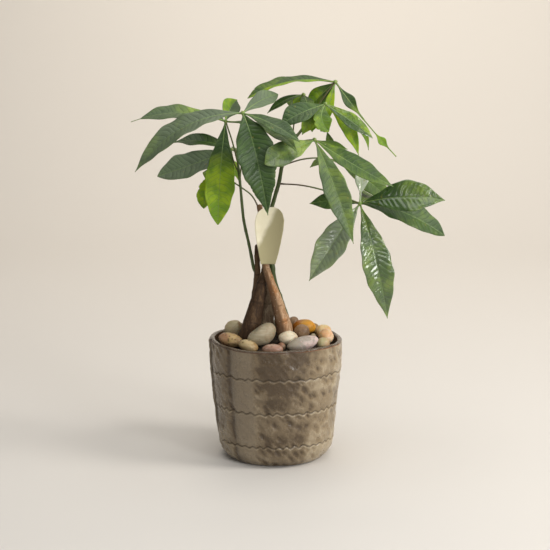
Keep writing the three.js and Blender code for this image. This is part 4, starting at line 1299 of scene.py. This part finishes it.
def grow_stem(points, sides, count, seed, rings, knots, spacing):
    """A stem with ring scars and swellings; its attributes tell where the scars and its right side are"""
    line = chord_curve(points, count)
    scars = ring_scars(line, seed, spacing)
    shaped, marks, walked = [], [], 0.0
    for k, (place, radius) in enumerate(line):
        walked += (place - line[k - 1][0]).length if k else 0
        near = min(abs(walked - scar) for scar in scars)
        mark = bell(near, 0.7)
        shaped.append((place, radius + rings * bell(near, 1.6) - 0.5 * rings * mark))
        marks.append(mark)
    bm = bmesh.new()
    add_tube(bm, rounded_ends(shaped), sides)
    layers = float_layers(bm, "scar", "right")
    bm.normal_update()
    for index, vert in enumerate(list(bm.verts)):
        vert[layers["scar"]] = marks[min(index // sides, len(marks) - 1)]
        vert[layers["right"]] = vert.normal.x
        swell = noise.noise(vert.co * 0.12 + Vector((seed, 0, 0)))
        fine = noise.noise(vert.co * 0.5 + Vector((0, seed, 0)))
        vert.co += vert.normal * knots * (swell + 0.25 * fine)
    return bm


class MONEYTREE_OT_trunks(bpy.types.Operator):
    """Grow the five swollen trunks with bark"""

    bl_idname = "moneytree.trunks"
    bl_label = "Trunks"

    def execute(self, context):
        settings = context.scene.money_tree_trunks
        brown = bark_look("bark_brown", settings.bark, settings.bark_light, settings.worn)
        # The tan bark gets painted shade on its left side and its top
        tan = bark_look("bark_tan", settings.tan, settings.tan_light, (0.66, 0.50, 0.34), shade=0.85)
        grey = bark_look("bark_grey", (0.12, 0.078, 0.045), (0.23, 0.165, 0.105), (0.33, 0.26, 0.175))
        green = shoot_look(settings)
        looks = {"trunk_front_right": tan, "trunk_middle": grey, "trunk_back_right": green}
        for seed, (name, points) in enumerate(TRUNKS.items()):
            bm = grow_stem(
                points, sides=40, count=18, seed=seed + 3,
                rings=settings.ring_height, knots=settings.knots, spacing=15,
            )
            add_piece(f"{name}_bark", bm, [looks.get(name, brown)], SLOT_OF[name], name)
        for seed, (name, points) in enumerate(SHOOTS.items()):
            bm = grow_stem(points, sides=20, count=16, seed=seed + 11, rings=0.2, knots=0.15, spacing=16)
            add_piece(f"{name}_stem", bm, [green], SLOT_OF[name], name)
        return {"FINISHED"}


# Leaves


def leaflet_course(hub, leaflet):
    """A leaflet's length, and what gives the place, the side and the upper way at a share of its rib"""
    start, end = Vector(hub), Vector(leaflet.tip)
    pull = 2 * Vector(leaflet.middle) - 0.5 * start - 0.5 * end
    facing = Vector(leaflet.face).normalized()

    def at(t):
        centre = start * (1 - t) ** 2 + pull * (2 * t * (1 - t)) + end * t**2
        tangent = ((pull - start) * (1 - t) + (end - pull) * t).normalized()
        side = tangent.cross(facing).normalized()
        return centre, side, side.cross(tangent).normalized()

    return ((pull - start).length + (end - pull).length + (end - start).length) / 2, at


def grow_blade(bm, layers, hub, leaflet, phase, settings):
    """One leaflet: a grid bent along its rib, puckered between its side veins, and given its thickness"""
    length, course = leaflet_course(hub, leaflet)
    columns = 2 * max(5, min(12, round(leaflet.width / 2.6)))
    rows = max(24, min(90, round(length / 1.3)))
    spacing = min(settings.vein_spacing, length / 8)
    made = bmesh.ops.create_grid(bm, x_segments=columns, y_segments=rows, size=1)["verts"]
    stations = {}
    walked, earlier = 0.0, Vector(hub)
    for row in sorted({round(vert.co.y, 5) for vert in made}):
        t = (row + 1) / 2
        centre, side, upper = course(t)
        walked += (centre - earlier).length
        earlier = centre
        least = RIB_HALF_WIDTH if t < 0.5 else TIP_HALF_WIDTH
        half = max(0.5 * leaflet.width * leaflet.outline(t), least)
        stations[row] = (t, centre, side, upper, half, walked)
    for vert in made:
        t, centre, side, upper, half, along = stations[round(vert.co.y, 5)]
        cross = vert.co.x
        nick = 1 + 0.035 * math.sin(along / 3.1 + 2 * cross + phase) * abs(cross) ** 3
        tear = noise.noise(Vector((along * 0.45, 3 * round(cross), phase)))
        nick -= leaflet.ragged * max(tear, 0) * smooth(0.25, 0.7, t) * abs(cross) ** 2 * 2
        across = cross * half * nick
        away = abs(across)
        ripple = BLADE_RIPPLE * math.sin(BLADE_WAVES * t + phase)
        sign = across / math.hypot(across, 1)
        rise = (math.hypot(across, 1.4) - 1.4) * (BLADE_FOLD + sign * ripple)
        veins = (along - 0.36 * away - 0.2 * away * away / max(half, 2)) / spacing
        wander = noise.noise(Vector((along * 0.09, 4 * sign + phase, away * 0.07)))
        veins += 0.12 * sign + 0.7 * wander
        between = abs(math.sin(math.pi * veins)) ** 0.7
        inner = smooth(0, 2.2, away) * smooth(0, 0.22 * half + 0.6, half - away)
        rise += leaflet.relief * between * inner * (0.8 + 0.8 * wander)
        frill = settings.frill * abs(cross) ** 3 * math.sin(along / 4.3 + 1.3 * sign + phase)
        rise += frill * min(half / 9, 1)
        vert.co = centre + side * across + upper * rise
        vert[layers["across"]] = away
        vert[layers["edge"]] = half - away
        vert[layers["phase"]] = veins
        # Fresh: partly young colour, partly painted glow of light shining through the blade
        tone = blend(leaflet.foot_fresh, leaflet.tip_fresh, smooth(0.15, 0.65, t))
        vert[layers["fresh"]] = tone + leaflet.near_fresh * smooth(0.5, -1, across)
        vert[layers["gloss"]] = leaflet.shine
        # Pale: a painted grey sheen
        vert[layers["pale"]] = leaflet.pale
        vert[layers["wet"]] = leaflet.wet
        vert[layers["under"]] = 1
    faces = list({face for vert in made for face in vert.link_faces})
    bm.normal_update()
    bmesh.ops.solidify(bm, geom=faces, thickness=settings.thickness)
    for vert in made:
        vert[layers["under"]] = 0


def grow_rib(bm, hub, leaflet):
    """The raised rib below a leaflet, thick at the hub and fine at the tip"""
    _, course = leaflet_course(hub, leaflet)
    line = []
    for k in range(RIB_STATIONS + 1):
        t = 0.98 * k / RIB_STATIONS
        centre, _, upper = course(t)
        radius = blend(0.95, 0.25, t**0.6)
        line.append((centre - upper * (0.2 + 0.5 * radius), radius))
    for face in add_tube(bm, rounded_ends(line), 8):
        face.material_index = 2


class MONEYTREE_OT_leaves(bpy.types.Operator):
    """Grow the palmate leaves: stalks, hubs and veined leaflets"""

    bl_idname = "moneytree.leaves"
    bl_label = "Leaves"

    def execute(self, context):
        settings = context.scene.money_tree_leaves
        looks = [leaf_look(settings), stalk_look(settings), rib_look(settings)]
        for name, (stalk, leaflets) in LEAVES.items():
            bm = bmesh.new()
            layers = float_layers(
                bm, "across", "edge", "phase", "fresh", "gloss", "pale", "under", "wet"
            )
            hub = stalk[-1]
            for index, leaflet in enumerate(leaflets):
                grow_blade(bm, layers, hub, leaflet, BLADE_WAVE_SHIFT * index, settings)
                grow_rib(bm, hub, leaflet)
            route = chord_curve([(*point, STALK_RADIUS) for point in stalk], 14)
            swollen = []
            for k, (place, radius) in enumerate(route):
                share = k / len(route)
                swell = 1 + 0.35 * smooth(0.88, 1, share) + 0.4 * smooth(0.1, 0, share)
                swollen.append((place, radius * swell))
            for face in add_tube(bm, rounded_ends(swollen, foot=True), 12):
                face.material_index = 1
            knot = bmesh.ops.create_icosphere(
                bm, subdivisions=3, radius=HUB_RADIUS, matrix=Matrix.Translation(hub)
            )["verts"]
            for vert in knot:
                vert.co += (vert.co - Vector(hub)) * 0.25 * noise.noise(vert.co * 0.6)
            for face in {face for vert in knot for face in vert.link_faces}:
                face.material_index = 2
            add_piece(f"{name}_blades", bm, looks, SLOT_OF[name], name)
        return {"FINISHED"}


# Pebbles


def resting_height(x, y, length, height):
    """The height at which a pebble's middle rests on the sloping soil"""
    radius = math.hypot(x, y)
    slope = 2 * (SOIL_CROWN_HEIGHT - SOIL_EDGE_HEIGHT) * radius / SOIL_RADIUS**2
    return soil_top(radius) + math.hypot(height, slope * length) + 0.3


def all_pebbles():
    """Each pebble's node with its sizes and its lean, drawn as the part's source draws them"""
    draw = random_draws(PEBBLE_SEED)

    def lean():
        return Vector((next(draw) - 0.5, next(draw) - 0.5, next(draw) - 0.5))

    for name, sizes in PEBBLES.items():
        yield name, sizes, lean()
    for k in range(BACK_PEBBLES):
        degrees = BACK_FROM + k * (BACK_TO - BACK_FROM) / (BACK_PEBBLES - 1)
        turn = math.radians(degrees)
        length, height = 7.5 + 1.5 * next(draw), 5.5 + 2.5 * next(draw)
        place = (BACK_RING * math.cos(turn), BACK_RING * math.sin(turn))
        yield f"pebble_back_{k + 1}", (*place, length, 8, height, degrees, 0), lean()
    for k, (x, y, radius) in enumerate(SMALL_PEBBLES):
        sizes = (x, y, radius, 0.9 * radius, 0.85 * radius, 60 * k, 0)
        yield f"pebble_small_{k + 1}", sizes, lean()


class MONEYTREE_OT_pebbles(bpy.types.Operator):
    """Lay the river pebbles"""

    bl_idname = "moneytree.pebbles"
    bl_label = "Pebbles"

    def execute(self, context):
        wear = context.scene.money_tree_pebbles.wear
        looks = {slot: stone_look(f"{slot}_stone", kind) for slot, kind in STONE_LOOKS.items()}
        for seed, (name, sizes, lean) in enumerate(all_pebbles()):
            x, y, length, width, height, turn, tilt = sizes
            bm = bmesh.new()
            bmesh.ops.create_icosphere(bm, subdivisions=5 if length > LARGE_PEBBLE else 4, radius=1)
            for vert in bm.verts:
                way = vert.co.normalized()
                broad = noise.noise(way * 1.1 + Vector((seed, 2, 5)))
                flat = noise.noise(way * 2.4 + Vector((3, seed, 1)))
                swell = PEBBLE_SCALE * (1 + PEBBLE_UNEVENNESS * way.dot(lean))
                swell += wear * (0.7 * broad + 0.3 * flat)
                for corner, rise in CORNERS.get(name, ()):
                    swell += rise * max(way.dot(Vector(corner).normalized()), 0) ** 3
                vert.co = way * swell
            place = Matrix.Translation((x, y, resting_height(x, y, length, height)))
            turned = Matrix.Rotation(math.radians(turn), 4, "Z")
            turned = turned @ Matrix.Rotation(math.radians(tilt), 4, "Y")
            sized = Matrix.Diagonal((length, width, height, 1))
            bmesh.ops.transform(bm, matrix=place @ turned @ sized, verts=bm.verts)
            slot = SLOT_OF[name]
            look = looks[slot]
            if name in PEBBLES:
                kind = OWN_STONE_LOOKS.get(name, STONE_LOOKS[slot])
                look = stone_look(f"{name}_skin", kind, x, length)
            add_piece(f"{name}_stone", bm, [look], slot, name)
        return {"FINISHED"}


# Tag


class MONEYTREE_OT_tag(bpy.types.Operator):
    """Cut and curl the blank paper tag with its loop"""

    bl_idname = "moneytree.tag"
    bl_label = "Paper Tag"

    def execute(self, context):
        settings = context.scene.money_tree_tag
        bm = bmesh.new()
        rows = [(left, 0, height, right) for height, left, right in TAG_OUTLINE]
        edges_at = [(place.z, place.x, right) for place, right in chord_curve(rows, 8)]
        made = bmesh.ops.create_grid(bm, x_segments=24, y_segments=len(edges_at) - 1, size=1)["verts"]
        levels = sorted({round(vert.co.y, 5) for vert in made})
        place_of = dict(zip(levels, edges_at))
        for vert in made:
            height, left, right = place_of[round(vert.co.y, 5)]
            share = (vert.co.x + 1) / 2
            x = blend(left, right, share)
            y = TAG_FRONT - TAG_HOLLOW * (x - TAG_MIDDLE) ** 2
            vert.co = (x, y, height)
        bm.normal_update()
        bmesh.ops.solidify(bm, geom=list(bm.faces), thickness=settings.thickness)
        bmesh.ops.recalc_face_normals(bm, faces=bm.faces)
        middle_x, middle_y = LOOP_CENTRE
        radius = LOOP_RADIUS + LOOP_CARD_OFFSET
        path = [(-radius, -LOOP_LONG_LEG), (-radius, -LOOP_LONG_LEG / 2)]
        for k in range(LOOP_STEPS + 1):
            turn = math.pi * k / LOOP_STEPS
            path.append((-radius * math.cos(turn), radius * math.sin(turn)))
        path.append((radius, -LOOP_SHORT_LEG))
        low = LOOP_HEIGHT - LOOP_WIDTH / 2
        verts = [bm.verts.new((middle_x + x, middle_y + y, low)) for x, y in path]
        strip = [bm.edges.new(pair) for pair in zip(verts, verts[1:])]
        grown = bmesh.ops.extrude_edge_only(bm, edges=strip)["geom"]
        bmesh.ops.translate(bm, vec=(0, 0, LOOP_WIDTH), verts=parts(grown, bmesh.types.BMVert))
        band = parts(grown, bmesh.types.BMFace)
        bm.normal_update()
        walls = bmesh.ops.solidify(bm, geom=band, thickness=settings.thickness)["geom"]
        bmesh.ops.recalc_face_normals(bm, faces=band + parts(walls, bmesh.types.BMFace))
        add_piece("paper_tag_card", bm, [paper_look(settings)], SLOT_OF["paper_tag"], "paper_tag")
        return {"FINISHED"}


# Stage


def add_light(name, place, aim, size, power, colour):
    lamp = bpy.data.lights.new(name, "AREA")
    lamp.shape = "DISK"
    lamp.size = size
    lamp.energy = power
    lamp.color = colour
    made = bpy.data.objects.new(name, lamp)
    made.location = place
    made.rotation_euler = (Vector(aim) - Vector(place)).to_track_quat("-Z", "Y").to_euler()
    bpy.context.scene.collection.objects.link(made)


class MONEYTREE_OT_stage(bpy.types.Operator):
    """Set the pale floor, the soft studio lights and the photograph's camera"""

    bl_idname = "moneytree.stage"
    bl_label = "Stage"

    def execute(self, context):
        settings = context.scene.money_tree_stage
        bm = bmesh.new()
        bmesh.ops.create_grid(bm, x_segments=8, y_segments=60, size=3)
        for vert in bm.verts:
            beyond = max(vert.co.y - FLOOR_BEND, 0)
            angle = min(beyond / FLOOR_CURVE, math.pi / 2)
            straight = max(beyond - FLOOR_CURVE * math.pi / 2, 0)
            if beyond:
                vert.co.y = FLOOR_BEND + FLOOR_CURVE * math.sin(angle)
                vert.co.z = FLOOR_CURVE * (1 - math.cos(angle)) + straight
            vert.co.x *= 2
        mesh = bpy.data.meshes.new("floor")
        bm.to_mesh(mesh)
        bm.free()
        mesh.shade_smooth()
        look = bpy.data.materials.new("pale_floor")
        look.use_nodes = True
        shader = look.node_tree.nodes["Principled BSDF"].inputs
        shader["Base Color"].default_value = (*settings.floor, 1)
        shader["Roughness"].default_value = 0.6
        mesh.materials.append(look)
        floor = bpy.data.objects.new("floor", mesh)
        context.scene.collection.objects.link(floor)
        for name, (place, aim, size, colour) in LAMPS.items():
            add_light(name, place, aim, size, getattr(settings, name), colour)
        world = bpy.data.worlds.new("room")
        world.use_nodes = True
        shade = world.node_tree.nodes["Background"].inputs
        shade["Color"].default_value = (1.0, 0.96, 0.9, 1)
        shade["Strength"].default_value = settings.room
        context.scene.world = world
        camera = bpy.data.cameras.new("photograph")
        camera.lens = CAMERA_LENS
        camera.sensor_width = SENSOR_WIDTH
        camera.clip_end = 50
        view = bpy.data.objects.new("photograph", camera)
        view.location = Vector(CAMERA_PLACE) * MM
        view.rotation_euler = (math.radians(90 - CAMERA_DIP), 0, 0)
        context.scene.collection.objects.link(view)
        context.scene.camera = view
        context.scene.view_settings.view_transform = "Standard"
        return {"FINISHED"}


STEPS = (
    MONEYTREE_OT_stage,
    MONEYTREE_OT_pot,
    MONEYTREE_OT_soil,
    MONEYTREE_OT_trunks,
    MONEYTREE_OT_leaves,
    MONEYTREE_OT_pebbles,
    MONEYTREE_OT_tag,
)
SETTINGS = {
    "money_tree_stage": StageSettings,
    "money_tree_pot": PotSettings,
    "money_tree_soil": SoilSettings,
    "money_tree_trunks": TrunkSettings,
    "money_tree_leaves": LeafSettings,
    "money_tree_pebbles": PebbleSettings,
    "money_tree_tag": TagSettings,
}


class MONEYTREE_PT_panel(bpy.types.Panel):
    """Lists the money tree's pieces with their settings"""

    bl_idname = "MONEYTREE_PT_panel"
    bl_label = "Money Tree"
    bl_space_type = "VIEW_3D"
    bl_region_type = "UI"
    bl_category = "Money Tree"

    def draw(self, context):
        for step, (name, group) in zip(STEPS, SETTINGS.items()):
            box = self.layout.box()
            box.operator(step.bl_idname)
            values = getattr(context.scene, name)
            for label in group.__annotations__:
                box.prop(values, label)


def register():
    for group in SETTINGS.values():
        bpy.utils.register_class(group)
    for name, group in SETTINGS.items():
        setattr(bpy.types.Scene, name, PointerProperty(type=group))
    for step in STEPS:
        bpy.utils.register_class(step)
    bpy.utils.register_class(MONEYTREE_PT_panel)


def unregister():
    bpy.utils.unregister_class(MONEYTREE_PT_panel)
    for step in reversed(STEPS):
        bpy.utils.unregister_class(step)
    for name in SETTINGS:
        delattr(bpy.types.Scene, name)
    for group in reversed(SETTINGS.values()):
        bpy.utils.unregister_class(group)


def main():
    register()
    bpy.ops.moneytree.stage()
    bpy.ops.moneytree.pot()
    bpy.ops.moneytree.soil()
    bpy.ops.moneytree.trunks()
    bpy.ops.moneytree.leaves()
    bpy.ops.moneytree.pebbles()
    bpy.ops.moneytree.tag()


if __name__ == "__main__":
    main()
